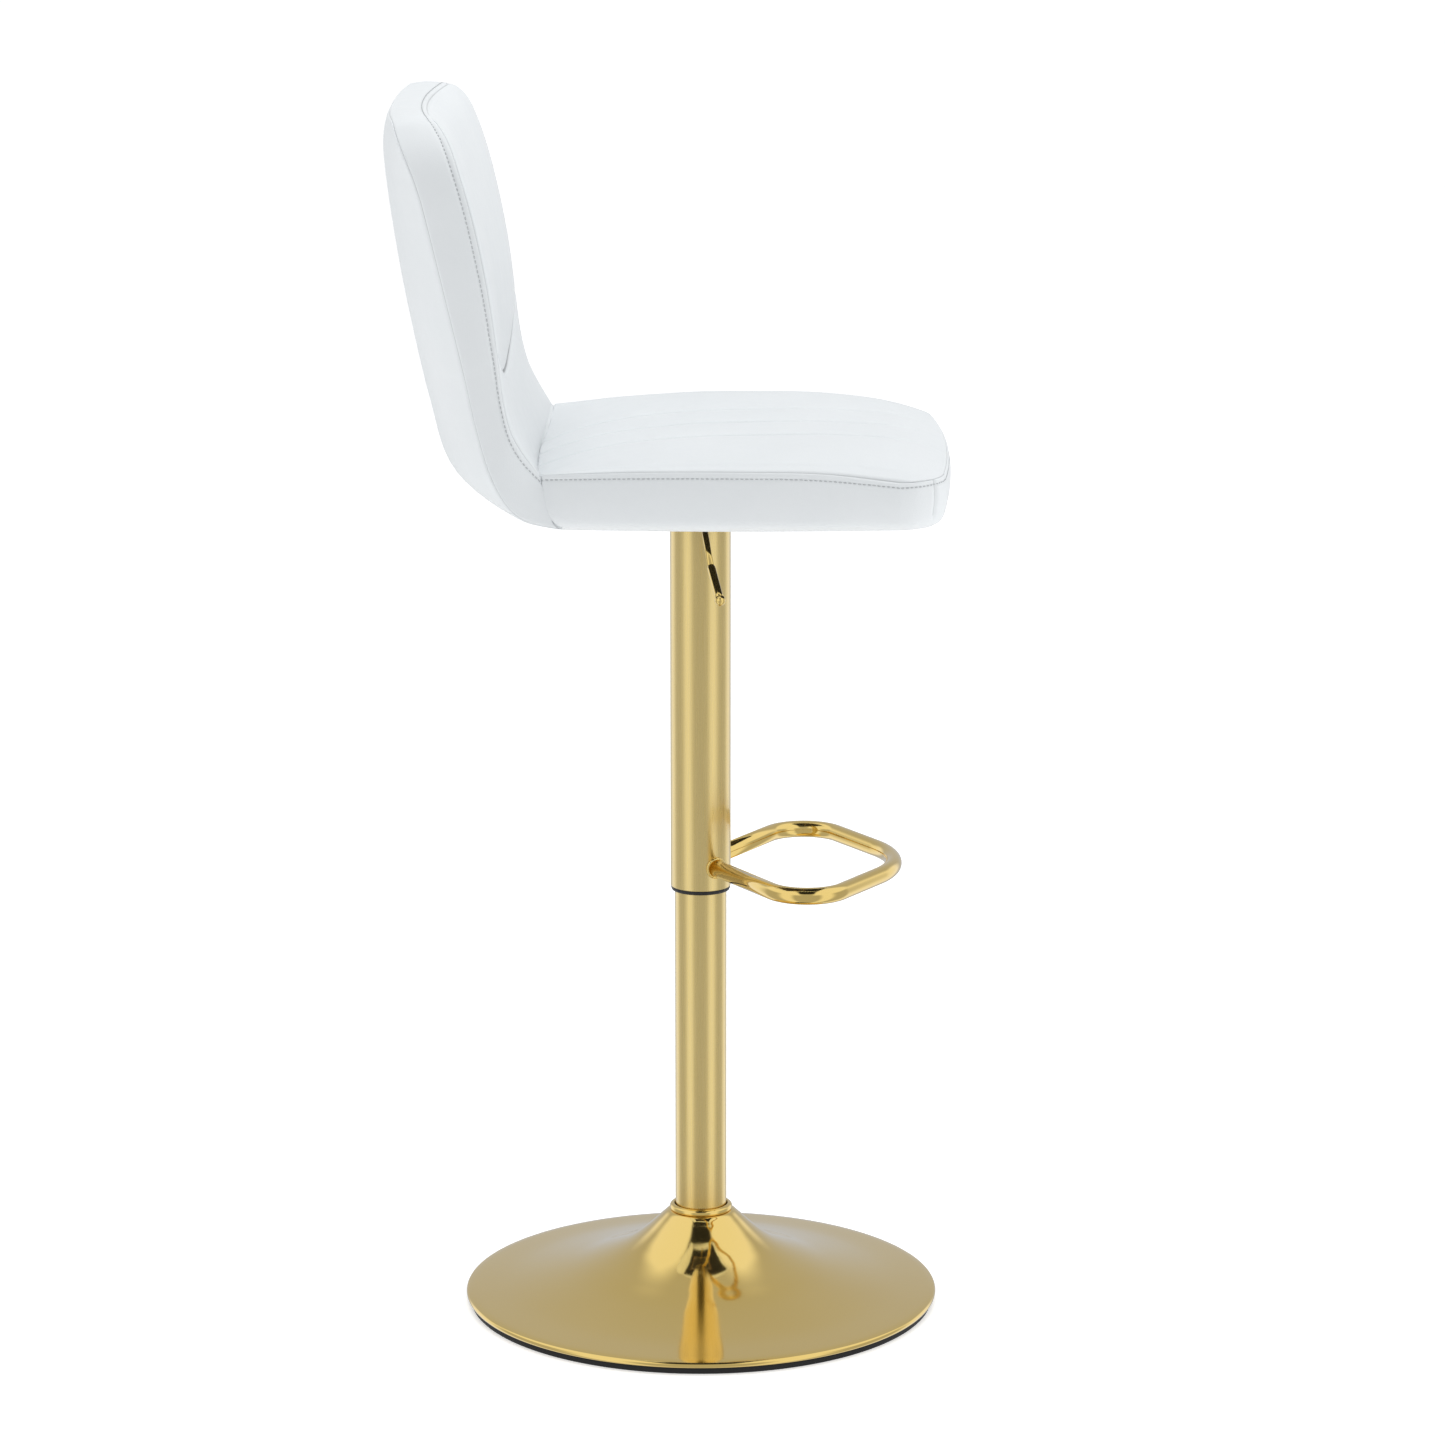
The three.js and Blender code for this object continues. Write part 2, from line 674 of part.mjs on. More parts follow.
function seatBoard() {
  const board = roundedPlate(
    [-boardHalfWidth, boardFront], [boardHalfWidth, boardRear], boardCorner, boardBottom, boardTop);
  const holes = corners(plateBoltX, plateBoltY).flatMap(([x, y]) => [
    disc(5.6, boardBottom - 1, boardTop + 1, smallSides).translate(x, y, 0),
    disc(9.9, boardTop - 1.8, boardTop + 1, smallSides).translate(x, y, 0),
  ]);
  return cut(board, ...holes, ...allScrews(0.4));
}

function dustCover() {
  const sheet = roundedPlate(
    [-boardHalfWidth, boardFront], [boardHalfWidth, boardRear - 4], boardCorner,
    boardBottom - gap - 0.9, boardBottom - gap,
  );
  const halfX = plateHalfX + 4;
  const halfY = plateHalfY + 4;
  const opening = block([-halfX, -halfY, plateBottom], [halfX, halfY, boardTop]);
  return cut(sheet, opening);
}

function teeNut([x, y]) {
  return turned([
    [4.3, boardBottom + 1], [5.3, boardBottom + 1], [5.3, boardTop - 1.5],
    [9.5, boardTop - 1.5], [9.5, boardTop - 0.1], [4.3, boardTop - 0.1],
    [4.3, boardBottom + 1],
  ], smallSides).translate(x, y, 0);
}

// ---------------------------------------------------------------- backrest
// The side edge of the back, from the seat up: its middle line, half its thickness there, how far
// the middle of the back lies behind its edges, and how far the rear padding swells.
const backStations = [
  { y: 143.5, z: 821, half: 19, sag: 15, swell: 0 },
  { y: 162, z: 834.5, half: 20, sag: 19, swell: 13 },
  { y: 173, z: 851, half: 17.5, sag: 22, swell: 18 },
  { y: 181, z: 872.5, half: 15, sag: 25, swell: 22 },
  { y: 188.3, z: 905, half: 16, sag: 27, swell: 21 },
  { y: 194.8, z: 944.5, half: 19, sag: 28, swell: 20 },
  { y: 203.8, z: 995.5, half: 21.5, sag: 28, swell: 19 },
  { y: 217, z: 1055, half: 21.5, sag: 28, swell: 16 },
  { y: 230.4, z: 1104, half: 22, sag: 28, swell: 10 },
  { y: 244, z: backTop, half: 23, sag: 28, swell: 0 },
];
const backLine = new THREE.CatmullRomCurve3(
  backStations.map((s) => new THREE.Vector3(0, s.y, s.z)), false, "centripetal");
const backBuild = new THREE.CatmullRomCurve3(
  backStations.map((s) => new THREE.Vector3(s.half, s.sag, s.swell)));
const backRows = 18;

// Where row v of the back lies on its line: the last rows crowd into the rounded top corners.
function backRow(v) {
  const cornerShare = 0.3;
  if (v <= 1 - cornerShare) return (v / (1 - cornerShare)) * 0.885;
  const angle = ((v - 1 + cornerShare) / cornerShare) * (Math.PI / 2);
  return 0.885 + 0.115 * Math.sin(angle);
}

// A sheet of the back at a distance from its middle surface; behind(build, pillow) gives that.
function backSheet(halfWidth, behind) {
  return (u, v) => {
    const along = backRow(v);
    const spot = backLine.getPoint(along);
    const tangent = backLine.getTangent(along);
    const build = backBuild.getPoint(along);
    const fromTop = Math.max(backTop - spot.z, 0);
    const rise = Math.max(backCornerRadius - fromTop, 0);
    const narrow = backCornerRadius - Math.sqrt(backCornerRadius ** 2 - rise ** 2);
    const atFoot = Math.max(1 - along / backFootShare, 0) ** 2;
    const side = Math.sin((u - 0.5) * Math.PI);
    const x = side * (halfWidth - narrow - backFootNarrowing * atFoot);
    const sag = build.y * (1 - (x / backHalfWidth) ** 2);
    const offset = sag + behind(build, 1 - Math.abs(side) ** 3);
    return [
      x,
      spot.y + tangent.z * offset,
      spot.z - tangent.y * offset,
    ];
  };
}

const backFront = backSheet(backHalfWidth, (build, pillow) => -build.x - 10 * pillow);
const backRear = backSheet(backHalfWidth, (build, pillow) => build.x + build.z * pillow);
const halfBoard = backBoardThickness / 2;
const padClearance = 1; // from the board to the padding glued on it
const seatSpace = () => block([-250, 0, 700], [250, seatRear + gap, 950]);

function backFrontPad() {
  const pad = slab(backSheet(backHalfWidth, () => -halfBoard - padClearance), backFront, 12, backRows);
  return cut(pad, seatSpace(), ...bracketSpace);
}

function backRearPad() {
  const pad = slab(backRear, backSheet(backHalfWidth, () => halfBoard + padClearance), 12, backRows);
  return cut(pad, seatSpace());
}

function backBoard() {
  const front = backSheet(backHalfWidth - 8, () => -halfBoard);
  const rear = backSheet(backHalfWidth - 8, () => halfBoard);
  return cut(slab(rear, front, 12, backRows), seatSpace(), ...allScrews(0.4));
}

// ---------------------------------------------------------------- assembly
const stool = new THREE.Group();
const base = new THREE.Group();
const gasRod = new THREE.Group();
const seat = new THREE.Group();
const lever = new THREE.Group();
const button = new THREE.Group();
stool.add(base, gasRod, seat);
stool.position.y = -columnForward;
seat.add(lever, button);

function add(group, name, geometry, material) {
  const mesh = new THREE.Mesh(geometry, material);
  mesh.name = name;
  group.add(mesh);
}

add(base, "floor_ring", floorRing(), blackRubber());
add(base, "base_weight", baseWeight(), steel());
add(base, "base_cover", baseCover(), polishedGold());
add(base, "base_collar", baseCollar(), polishedGold());
add(base, "column_tube", columnTube(), satinGold());
add(base, "column_flange", columnFlange(), steel());
flangeBolts.forEach((place, i) => add(base, `flange_bolt_${i + 1}`, flangeBolt(place), steel()));
add(base, "guide_sleeve", guideSleeve(), nylon());

let stackBottom = bearingBottom;
for (const [name, height] of bearingStack) {
  const turning = name === "bearing_race_upper";
  const layer = ring(rodRadius + 0.6, 14, stackBottom, stackBottom + height, 24);
  add(turning ? gasRod : base, name, layer, steel());
  stackBottom += height + gap;
}

add(gasRod, "piston_rod", pistonRod(), steel());
add(gasRod, "piston", ring(rodRadius + gap, cylinderInner - gap, 318, 330, 24), blackPlastic());
add(gasRod, "rod_clip", ring(rodRadius + gap, 9, 7.9, columnBottom - gap, 24), steel());

add(seat, "gas_cylinder", gasCylinder(), steel());
add(seat, "cover_tube",
  ring(coverTubeInner, coverTubeRadius, coverTubeBottom, coverTubeTop), satinGold());
add(seat, "cover_cap", coverCap(), blackPlastic());
add(seat, "guide_ring", guideRing(), blackPlastic());
add(seat, "footrest_tube", footrest(), polishedGold());
add(seat, "footrest_weld_left", weldBead(1), polishedGold());
add(seat, "footrest_weld_right", weldBead(-1), polishedGold());
add(seat, "mechanism_housing", mechanismHousing(), steel());
add(seat, "seat_plate", seatPlate(), steel());
corners(plateBoltX, plateBoltY).forEach(([x, y], i) => {
  add(seat, `plate_bolt_${i + 1}`,
    hexBolt(x, y, plateBottom - gap, 6.8, 5.2, 3.9, 14), steel());
  add(seat, `tee_nut_${i + 1}`, teeNut([x, y]), steel());
});
add(seat, "seat_board", seatBoard(), plywood());
add(seat, "dust_cover", dustCover(), feltBlack());
add(seat, "seat_cushion", seatCushion(), whiteLeather());
add(seat, "backrest_board", backBoard(), plywood());
add(seat, "backrest_front_pad", backFrontPad(), whiteLeather());
add(seat, "backrest_rear_pad", backRearPad(), whiteLeather());
for (const [side, name] of [[-1, "right"], [1, "left"]]) {
  add(seat, `back_bracket_${name}`, cut(bracket(side), ...allScrews(0.4)), steel());
  screwSpots.forEach((spot, i) =>
    add(seat, `bracket_screw_${name}_${i + 1}`, bracketScrew(side, spot), steel()));
}
add(seat, "lever_pivot_pin", leverPivotPin(), steel());

add(lever, "lever_crank", leverCrank(), steel());
add(lever, "lever_rod", leverRod(), polishedGold());
add(lever, "lever_grip", leverGrip(), polishedGold());
add(lever, "lever_end_cap", leverEndCap(), polishedGold());
add(button, "valve_button", disc(3, 752, 777.7, 16), steel());

export default stool;
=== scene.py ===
"""Bar stool with a footrest: smooth metalwork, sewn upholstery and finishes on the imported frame.

Lengths in the shape code are millimetres from the middle of the column at floor level, as in the
CAD. placed() turns them into metres in the row's frame.
"""

import json
import math

import bmesh
import bpy
import numpy as np
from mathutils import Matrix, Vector
from mathutils.bvhtree import BVHTree


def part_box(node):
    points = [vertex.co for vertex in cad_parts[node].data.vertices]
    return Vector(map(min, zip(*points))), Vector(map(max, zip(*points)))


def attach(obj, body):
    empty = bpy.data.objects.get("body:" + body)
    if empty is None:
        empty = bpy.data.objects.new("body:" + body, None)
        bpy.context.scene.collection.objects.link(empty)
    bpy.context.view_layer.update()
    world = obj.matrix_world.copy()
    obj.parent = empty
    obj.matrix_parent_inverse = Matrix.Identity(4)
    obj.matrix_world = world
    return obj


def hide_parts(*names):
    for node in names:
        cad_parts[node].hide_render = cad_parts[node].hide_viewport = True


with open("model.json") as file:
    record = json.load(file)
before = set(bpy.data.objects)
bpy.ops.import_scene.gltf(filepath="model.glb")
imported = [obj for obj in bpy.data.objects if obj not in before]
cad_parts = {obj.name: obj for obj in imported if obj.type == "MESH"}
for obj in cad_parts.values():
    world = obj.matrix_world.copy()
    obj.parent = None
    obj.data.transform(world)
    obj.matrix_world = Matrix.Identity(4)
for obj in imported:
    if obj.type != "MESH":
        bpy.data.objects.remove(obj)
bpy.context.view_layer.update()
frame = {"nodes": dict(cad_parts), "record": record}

MM = 0.001
TAU = 2 * math.pi

column_low, column_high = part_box("column_tube")
COLUMN = (column_low + column_high) / 2
COLUMN.z = 0


def node_box(name):
    """Lowest and highest corner of a CAD node, in millimetres from the foot of the column."""
    low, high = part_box(name)
    return (low - COLUMN) / MM, (high - COLUMN) / MM


# ---------------------------------------------------------------- reading curves
def smooth(table, at):
    """A cubic through a table of (position, value) rows, read at any positions."""
    x, y = np.asarray(table, float).T
    at = np.clip(at, x[0], x[-1])
    slope = np.gradient(y, x)
    i = np.clip(np.searchsorted(x, at) - 1, 0, len(x) - 2)
    width = x[i + 1] - x[i]
    t = (at - x[i]) / width
    return (
        y[i] * (2 * t**3 - 3 * t**2 + 1)
        + y[i + 1] * (3 * t**2 - 2 * t**3)
        + slope[i] * width * (t**3 - 2 * t**2 + t)
        + slope[i + 1] * width * (t**3 - t**2)
    )


def spline(points, at):
    """Catmull-Rom through points numbered from 0, read at any positions between them."""
    points = np.asarray(points, float)
    padded = np.vstack([2 * points[0] - points[1], points, 2 * points[-1] - points[-2]])
    at = np.clip(np.asarray(at, float), 0, len(points) - 1)
    i = np.minimum(at.astype(int), len(points) - 2)
    t = (at - i)[..., None]
    a, b, c, d = (padded[i + k] for k in range(4))
    return 0.5 * (
        2 * b + (c - a) * t + (2 * a - 5 * b + 4 * c - d) * t**2 + (3 * b - a - 3 * c + d) * t**3
    )


CLOSE_ROWS = (1.2, 2.6, 4.6)  # extra rows at these distances to either side of a feature
LEAST_STEP = 0.5


def spread(start, end, spacing, features):
    """Positions from start to end no further apart than spacing, with closer ones round features."""
    marks = {start, end}
    for feature in features:
        marks.update([feature, *(feature + n for n in CLOSE_ROWS), *(feature - n for n in CLOSE_ROWS)])
    marks = sorted(m for m in marks if start <= m <= end)
    kept = [marks[0]]
    for mark in marks[1:]:
        if mark - kept[-1] > LEAST_STEP:
            kept.append(mark)
    kept[-1] = end
    positions = [start]
    for a, b in zip(kept, kept[1:]):
        steps = max(1, math.ceil((b - a) / spacing))
        positions += [a + (b - a) * (k + 1) / steps for k in range(steps)]
    return np.array(positions)


def dip(distance, width):
    """1 on a line, falling smoothly to 0 a few widths away."""
    return np.exp(-((distance / width) ** 2))


def unit(vectors):
    """The same directions, each with a length of one."""
    return vectors / np.linalg.norm(vectors, axis=-1, keepdims=True)


def distances(path):
    """How far along a path each of its points lies."""
    return np.concatenate([[0], np.cumsum(np.linalg.norm(np.diff(path, axis=0), axis=1))])


def normals(line):
    """Unit vectors square to a flat line, on the left of the way it runs."""
    tangent = np.gradient(line, axis=0)
    return unit(np.stack([-tangent[:, 1], tangent[:, 0]], axis=1))


# ---------------------------------------------------------------- making pieces
def placed(points):
    """Points in millimetres from the foot of the column, as metres in the row's frame."""
    return np.asarray(points, float) * MM + np.array(COLUMN)


def new_piece(name, points, faces, slot, body, replaced=(), material=None):
    """A smooth-shaded mesh piece in a slot's finish, which rides on a body and stands for nodes."""
    mesh = bpy.data.meshes.new(name)
    mesh.from_pydata(placed(points).tolist(), [], [list(map(int, f)) for f in faces])
    mesh.materials.append(material or FINISHES[slot])
    mesh.shade_smooth()
    piece = bpy.data.objects.new(name, mesh)
    bpy.context.scene.collection.objects.link(piece)
    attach(piece, body)
    if replaced:
        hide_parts(*replaced)
    return piece


def grid_faces(rows, columns, wrap_rows=False, wrap_columns=False):
    """Quads over a grid of points stored row by row."""
    last_row = rows if wrap_rows else rows - 1
    last_column = columns if wrap_columns else columns - 1
    return [
        (
            i * columns + j,
            i * columns + (j + 1) % columns,
            (i + 1) % rows * columns + (j + 1) % columns,
            (i + 1) % rows * columns + j,
        )
        for i in range(last_row)
        for j in range(last_column)
    ]


ARC_STEPS = 3
LONGEST_CUT = 0.45  # share of a side that one rounded corner may take


def rounded(outline, radius):
    """A closed outline with each corner cut back by radius and turned in a curve."""
    points = []
    for before, corner, after in zip([outline[-1], *outline], outline, [*outline[1:], outline[0]]):
        corner = np.array(corner, float)
        inward = np.array(before) - corner
        outward = np.array(after) - corner
        cut_in = min(radius, np.linalg.norm(inward) * LONGEST_CUT)
        cut_out = min(radius, np.linalg.norm(outward) * LONGEST_CUT)
        first = corner + unit(inward) * cut_in
        last = corner + unit(outward) * cut_out
        for k in range(ARC_STEPS + 1):
            t = k / ARC_STEPS
            points.append((1 - t) ** 2 * first + 2 * t * (1 - t) * corner + t**2 * last)
    return np.array(points)


def turned(outline, sides):
    """Points and faces of a closed [radius, height] outline turned round the column."""
    outline = np.asarray(outline, float)
    angle = np.arange(sides) * TAU / sides
    points = np.stack(
        [
            outline[:, :1] * np.cos(angle),
            outline[:, :1] * np.sin(angle),
            np.repeat(outline[:, 1:], sides, axis=1),
        ],
        axis=-1,
    )
    return points.reshape(-1, 3), grid_faces(len(outline), sides, True, True)


NOT_ALONG_A_BAR = (0.1, 0.2, 1.0)  # a direction that no swept bar sets out in


def swept(path, radius, sides, closed=False):
    """Points and faces of a round bar along a path; radius may change from point to point."""
    path = np.asarray(path, float)
    count = len(path)
    radius = np.broadcast_to(radius, count)
    if closed:
        tangent = np.roll(path, -1, axis=0) - np.roll(path, 1, axis=0)
    else:
        tangent = np.gradient(path, axis=0)
    tangent = unit(tangent)
    side = np.cross(tangent[0], NOT_ALONG_A_BAR)
    rings = []
    angle = np.arange(sides) * TAU / sides
    for at, along, size in zip(path, tangent, radius):
        side = unit(side - along * (side @ along))
        up = np.cross(along, side)
        rings.append(at + size * (np.outer(np.cos(angle), side) + np.outer(np.sin(angle), up)))
    faces = grid_faces(count, sides, closed, True)
    if not closed:
        faces += [tuple(range(sides - 1, -1, -1)), tuple(range((count - 1) * sides, count * sides))]
    return np.concatenate(rings), faces


def outward(piece):
    """Turns every face of a closed piece to face out."""
    shape = bmesh.new()
    shape.from_mesh(piece.data)
    bmesh.ops.recalc_face_normals(shape, faces=shape.faces)
    shape.to_mesh(piece.data)
    shape.free()


# ---------------------------------------------------------------- finishes
def node_maker(tree):
    """A helper that adds a node to a tree, with its inputs set or linked."""

    def add(kind, inputs=None, **settings):
        node = tree.nodes.new(kind)
        for key, value in settings.items():
            setattr(node, key, value)
        for key, value in (inputs or {}).items():
            if isinstance(value, bpy.types.NodeSocket):
                tree.links.new(value, node.inputs[key])
            else:
                node.inputs[key].default_value = value
        return node

    return add


def finish(name, colour, metallic=0.0, specular=0.5):
    """A new material with its Principled shader, and a helper that adds nodes to it."""
    material = bpy.data.materials.new(name)
    material.use_nodes = True
    tree = material.node_tree
    shader = tree.nodes["Principled BSDF"]
    shader.inputs["Base Color"].default_value = (*colour, 1)
    shader.inputs["Metallic"].default_value = metallic
    shader.inputs["Specular IOR Level"].default_value = specular
    return material, shader, node_maker(tree)


def link(material, source, target):
    """Feeds one node's output to another's input."""
    material.node_tree.links.new(source, target)


def surface_vector(add, scale=(1, 1, 1)):
    """The piece's own coordinates in metres, stretched by scale."""
    where = add("ShaderNodeTexCoord")
    mapping = add("ShaderNodeMapping", {"Vector": where.outputs["Object"], "Scale": scale})
    return mapping.outputs["Vector"]


NOISE_LOW = 0.3  # most of a noise's values lie between these two
NOISE_HIGH = 0.7


def roughened(material, shader, add, vector, low, high, scale, detail=3.0):
    """Lets noise vary the roughness between low and high, and returns the noise."""
    noise = add("ShaderNodeTexNoise", {"Vector": vector, "Scale": scale, "Detail": detail})
    limits = {"From Min": NOISE_LOW, "From Max": NOISE_HIGH, "To Min": low, "To Max": high}
    spread_out = add("ShaderNodeMapRange", {"Value": noise.outputs["Fac"], **limits})
    link(material, spread_out.outputs["Result"], shader.inputs["Roughness"])
    return noise


def toned(material, shader, add, factor, dark, light):
    """Mixes the base colour between two tones, and returns the mixing node."""
    ramp = add("ShaderNodeValToRGB", {"Fac": factor})
    ends = zip(ramp.color_ramp.elements, (NOISE_LOW, NOISE_HIGH), (dark, light))
    for element, position, colour in ends:
        element.position = position
        element.color = (*colour, 1)
    link(material, ramp.outputs["Color"], shader.inputs["Base Color"])
    return ramp


def bumped(material, shader, add, height, strength, distance):
    """Raises and lowers the surface in the shading only, by a height of at most distance."""
    bump = add("ShaderNodeBump", {"Height": height, "Strength": strength, "Distance": distance})
    link(material, bump.outputs["Normal"], shader.inputs["Normal"])


SHADE_FROM = 1.2  # depth in a seam at which painted shade starts to darken the leather
SHADE_TO = 2.4
SHADE_TONE = 0.62


def white_leather():
    """Grained white leatherette, slightly cool and semi-matt, with painted shade where the seams sink.
    """
    material, shader, add = finish("white_leather", (0.71, 0.735, 0.75), specular=0.3)
    vector = surface_vector(add)
    pebbles = add(
        "ShaderNodeTexVoronoi",
        {"Vector": vector, "Scale": 820.0, "Smoothness": 0.6},
        feature="SMOOTH_F1",
    )
    folds = add(
        "ShaderNodeTexNoise",
        {"Vector": vector, "Scale": 260.0, "Detail": 4.0, "Roughness": 0.6},
    )
    clouds = add("ShaderNodeTexNoise", {"Vector": vector, "Scale": 9.0, "Detail": 2.0})
    dark = (0.690, 0.716, 0.731)
    light = (0.709, 0.732, 0.746)
    tones = toned(material, shader, add, clouds.outputs["Fac"], dark, light)
    # painted shade: the leather's colour is darkened where a seam, channel or crease sinks in
    sunk = add("ShaderNodeAttribute", attribute_name="sink")
    limits = {"From Min": SHADE_FROM, "From Max": SHADE_TO, "To Min": 1.0, "To Max": SHADE_TONE}
    shade = add("ShaderNodeMapRange", {"Value": sunk.outputs["Fac"], **limits})
    shaded = add(
        "ShaderNodeVectorMath",
        {0: tones.outputs["Color"], "Scale": shade.outputs["Result"]},
        operation="SCALE",
    )
    link(material, shaded.outputs["Vector"], shader.inputs["Base Color"])
    roughened(material, shader, add, vector, 0.44, 0.56, 70.0)
    grain = add(
        "ShaderNodeMath",
        {0: pebbles.outputs["Distance"], 1: folds.outputs["Fac"]},
        operation="ADD",
    )
    bumped(material, shader, add, grain.outputs["Value"], 0.22, 0.0004)
    return material


def thread():
    """Grey-white polyester thread with a two-ply twist."""
    material, shader, add = finish("thread", (0.66, 0.68, 0.69), specular=0.3)
    vector = surface_vector(add)
    twist = add("ShaderNodeTexWave", {"Vector": vector, "Scale": 900.0, "Distortion": 2.0})
    roughened(material, shader, add, vector, 0.5, 0.7, 400.0)
    toned(material, shader, add, twist.outputs["Fac"], (0.36, 0.38, 0.39), (0.52, 0.54, 0.55))
    return material


def clear_coated(shader):
    """The lacquer over gold plating, which whitens it at a glancing angle."""
    shader.inputs["Coat Weight"].default_value = 0.8
    shader.inputs["Coat Roughness"].default_value = 0.06
    shader.inputs["Coat IOR"].default_value = 1.5


def polished_gold():
    """Mirror-polished brass-coloured plating, with faint haze and hairline wiping marks."""
    material, shader, add = finish("polished_gold", (0.80, 0.58, 0.175), metallic=1.0)
    clear_coated(shader)
    vector = surface_vector(add)
    roughened(material, shader, add, vector, 0.05, 0.11, 14.0)
    clouds = add("ShaderNodeTexNoise", {"Vector": vector, "Scale": 6.0, "Detail": 2.0})
    toned(material, shader, add, clouds.outputs["Fac"], (0.785, 0.565, 0.165), (0.81, 0.59, 0.185))
    hairlines = add("ShaderNodeTexNoise", {"Vector": vector, "Scale": 900.0, "Detail": 2.0})
    bumped(material, shader, add, hairlines.outputs["Fac"], 0.02, 0.0002)
    return material


def satin_gold():
    """Brushed brass-coloured plating with a lengthwise grain."""
    material, shader, add = finish("satin_gold", (0.80, 0.62, 0.25), metallic=1.0)
    clear_coated(shader)
    vector = surface_vector(add, (1, 1, 0.012))
    grain = roughened(material, shader, add, vector, 0.24, 0.34, 1600.0, 2.0)
    toned(material, shader, add, grain.outputs["Fac"], (0.785, 0.605, 0.235), (0.815, 0.635, 0.265))
    bumped(material, shader, add, grain.outputs["Fac"], 0.06, 0.0002)
    return material


def plain_metal(name, colour, low, high):
    """Mill or plated steel with slight mottling."""
    material, shader, add = finish(name, colour, metallic=1.0)
    vector = surface_vector(add)
    mottle = roughened(material, shader, add, vector, low, high, 120.0)
    darker = tuple(c * 0.85 for c in colour)
    toned(material, shader, add, mottle.outputs["Fac"], darker, colour)
    bumped(material, shader, add, mottle.outputs["Fac"], 0.04, 0.0002)
    return material


def moulded(name, colour, low, high):
    """Moulded plastic or rubber with a fine spark-eroded grain."""
    material, shader, add = finish(name, colour, specular=0.4)
    vector = surface_vector(add)
    texture = roughened(material, shader, add, vector, low, high, 700.0)
    lighter = tuple(c * 1.25 for c in colour)
    toned(material, shader, add, texture.outputs["Fac"], colour, lighter)
    bumped(material, shader, add, texture.outputs["Fac"], 0.1, 0.0003)
    return material


def plywood():
    """Pale plywood, its figure drawn out along Y and in fine layers along Z."""
    material, shader, add = finish("plywood", (0.57, 0.38, 0.20), specular=0.3)
    vector = surface_vector(add, (1, 0.15, 4))
    figure = roughened(material, shader, add, vector, 0.6, 0.75, 90.0)
    toned(material, shader, add, figure.outputs["Fac"], (0.46, 0.29, 0.14), (0.62, 0.43, 0.24))
    bumped(material, shader, add, figure.outputs["Fac"], 0.1, 0.0004)
    return material


def black_cloth():
    """Thin non-woven dust cloth with a pressed diamond pattern."""
    material, shader, add = finish("black_cloth", (0.012, 0.012, 0.013), specular=0.2)
    vector = surface_vector(add)
    fibres = add("ShaderNodeTexVoronoi", {"Vector": vector, "Scale": 600.0})
    roughened(material, shader, add, vector, 0.8, 0.95, 500.0)
    toned(material, shader, add, fibres.outputs["Distance"], (0.008, 0.008, 0.009), (0.03, 0.03, 0.032))
    bumped(material, shader, add, fibres.outputs["Distance"], 0.3, 0.0004)
    return material


FINISHES = {
    "white_leather": white_leather(),
    "polished_gold": polished_gold(),
    "satin_gold": satin_gold(),
    "black_rubber": moulded("black_rubber", (0.009, 0.009, 0.009), 0.55, 0.75),
    "black_plastic": moulded("black_plastic", (0.012, 0.012, 0.013), 0.35, 0.5),
    "nylon": moulded("nylon", (0.70, 0.68, 0.62), 0.45, 0.6),
    "bright_steel": plain_metal("bright_steel", (0.62, 0.62, 0.61), 0.15, 0.28),
    "dark_steel": plain_metal("dark_steel", (0.10, 0.10, 0.105), 0.35, 0.55),
    "zinc_steel": plain_metal("zinc_steel", (0.50, 0.51, 0.53), 0.3, 0.5),
    "plywood": plywood(),
    "black_cloth": black_cloth(),
}


SHARP_ANGLE = math.radians(35)


def dress_cad_nodes():
    """Gives every CAD node the procedural finish of its slot in the record."""
    for part in frame["record"]["subparts"]:
        node = frame["nodes"][part["node"]]
        node.material_slots[0].material = FINISHES[part["material_slot"]]
        node.data.shade_smooth()
        node.data.set_sharp_from_angle(angle=SHARP_ANGLE)


# ---------------------------------------------------------------- base and column
ROUND = 160  # facets of the turned metalwork
BASE_ROUND = 320
TRUMPET = [
    (26, 88.5), (31, 88.3), (38, 82.3), (51, 69.8), (64, 59), (78, 50.2), (100, 40.2), (130, 29.2),
    (176, 18.2), (220, 12.6),
]
TRUMPET_SAMPLES = 130
COVER_SHEET = 1.2
LIP_RADIUS = 3
LIP_AT = (222, 9.2)
LIP_START = math.radians(70)
LIP_END = math.radians(-150)


def base_cover():
    """The spun trumpet, its rolled lip and its inner face, as one closed skin."""
    outer = spline(TRUMPET, np.linspace(0, len(TRUMPET) - 1, TRUMPET_SAMPLES))
    inner = outer - normals(outer) * COVER_SHEET
    angle = np.linspace(LIP_START, LIP_END, 22)
    lip = LIP_AT + LIP_RADIUS * np.stack([np.cos(angle), np.sin(angle)], axis=1)
    top = outer[outer[:, 0] < LIP_AT[0] - LIP_RADIUS]
    underside = inner[inner[:, 0] < LIP_AT[0] - LIP_RADIUS - 1]
    outline = np.concatenate([top, lip, underside[::-1]])
    piece = new_piece(
        "trumpet_cover", *turned(outline, BASE_ROUND), "polished_gold", "base", ["base_cover"]
    )
    outward(piece)


def turned_piece(name, outline, edge, slot, body, node, sides=ROUND):
    """A turned CAD node again with fine facets and its edges broken."""
    piece = new_piece(name, *turned(rounded(outline, edge), sides), slot, body, [node])
    outward(piece)


def tube_outline(node, wall):
    """The wall of a tube node as a closed [radius, height] outline."""
    low, high = node_box(node)
    radius = (high.x - low.x) / 2
    return [(radius - wall, low.z), (radius, low.z), (radius, high.z), (radius - wall, high.z)]


COLUMN_WALL = 2
COVER_WALL = 1.5
GASKET_WIDTH = 24
COLLAR_WALL = 4.6
COLLAR_SLOPE_IN = 3
COLLAR_SLOPE_DOWN = 1.5


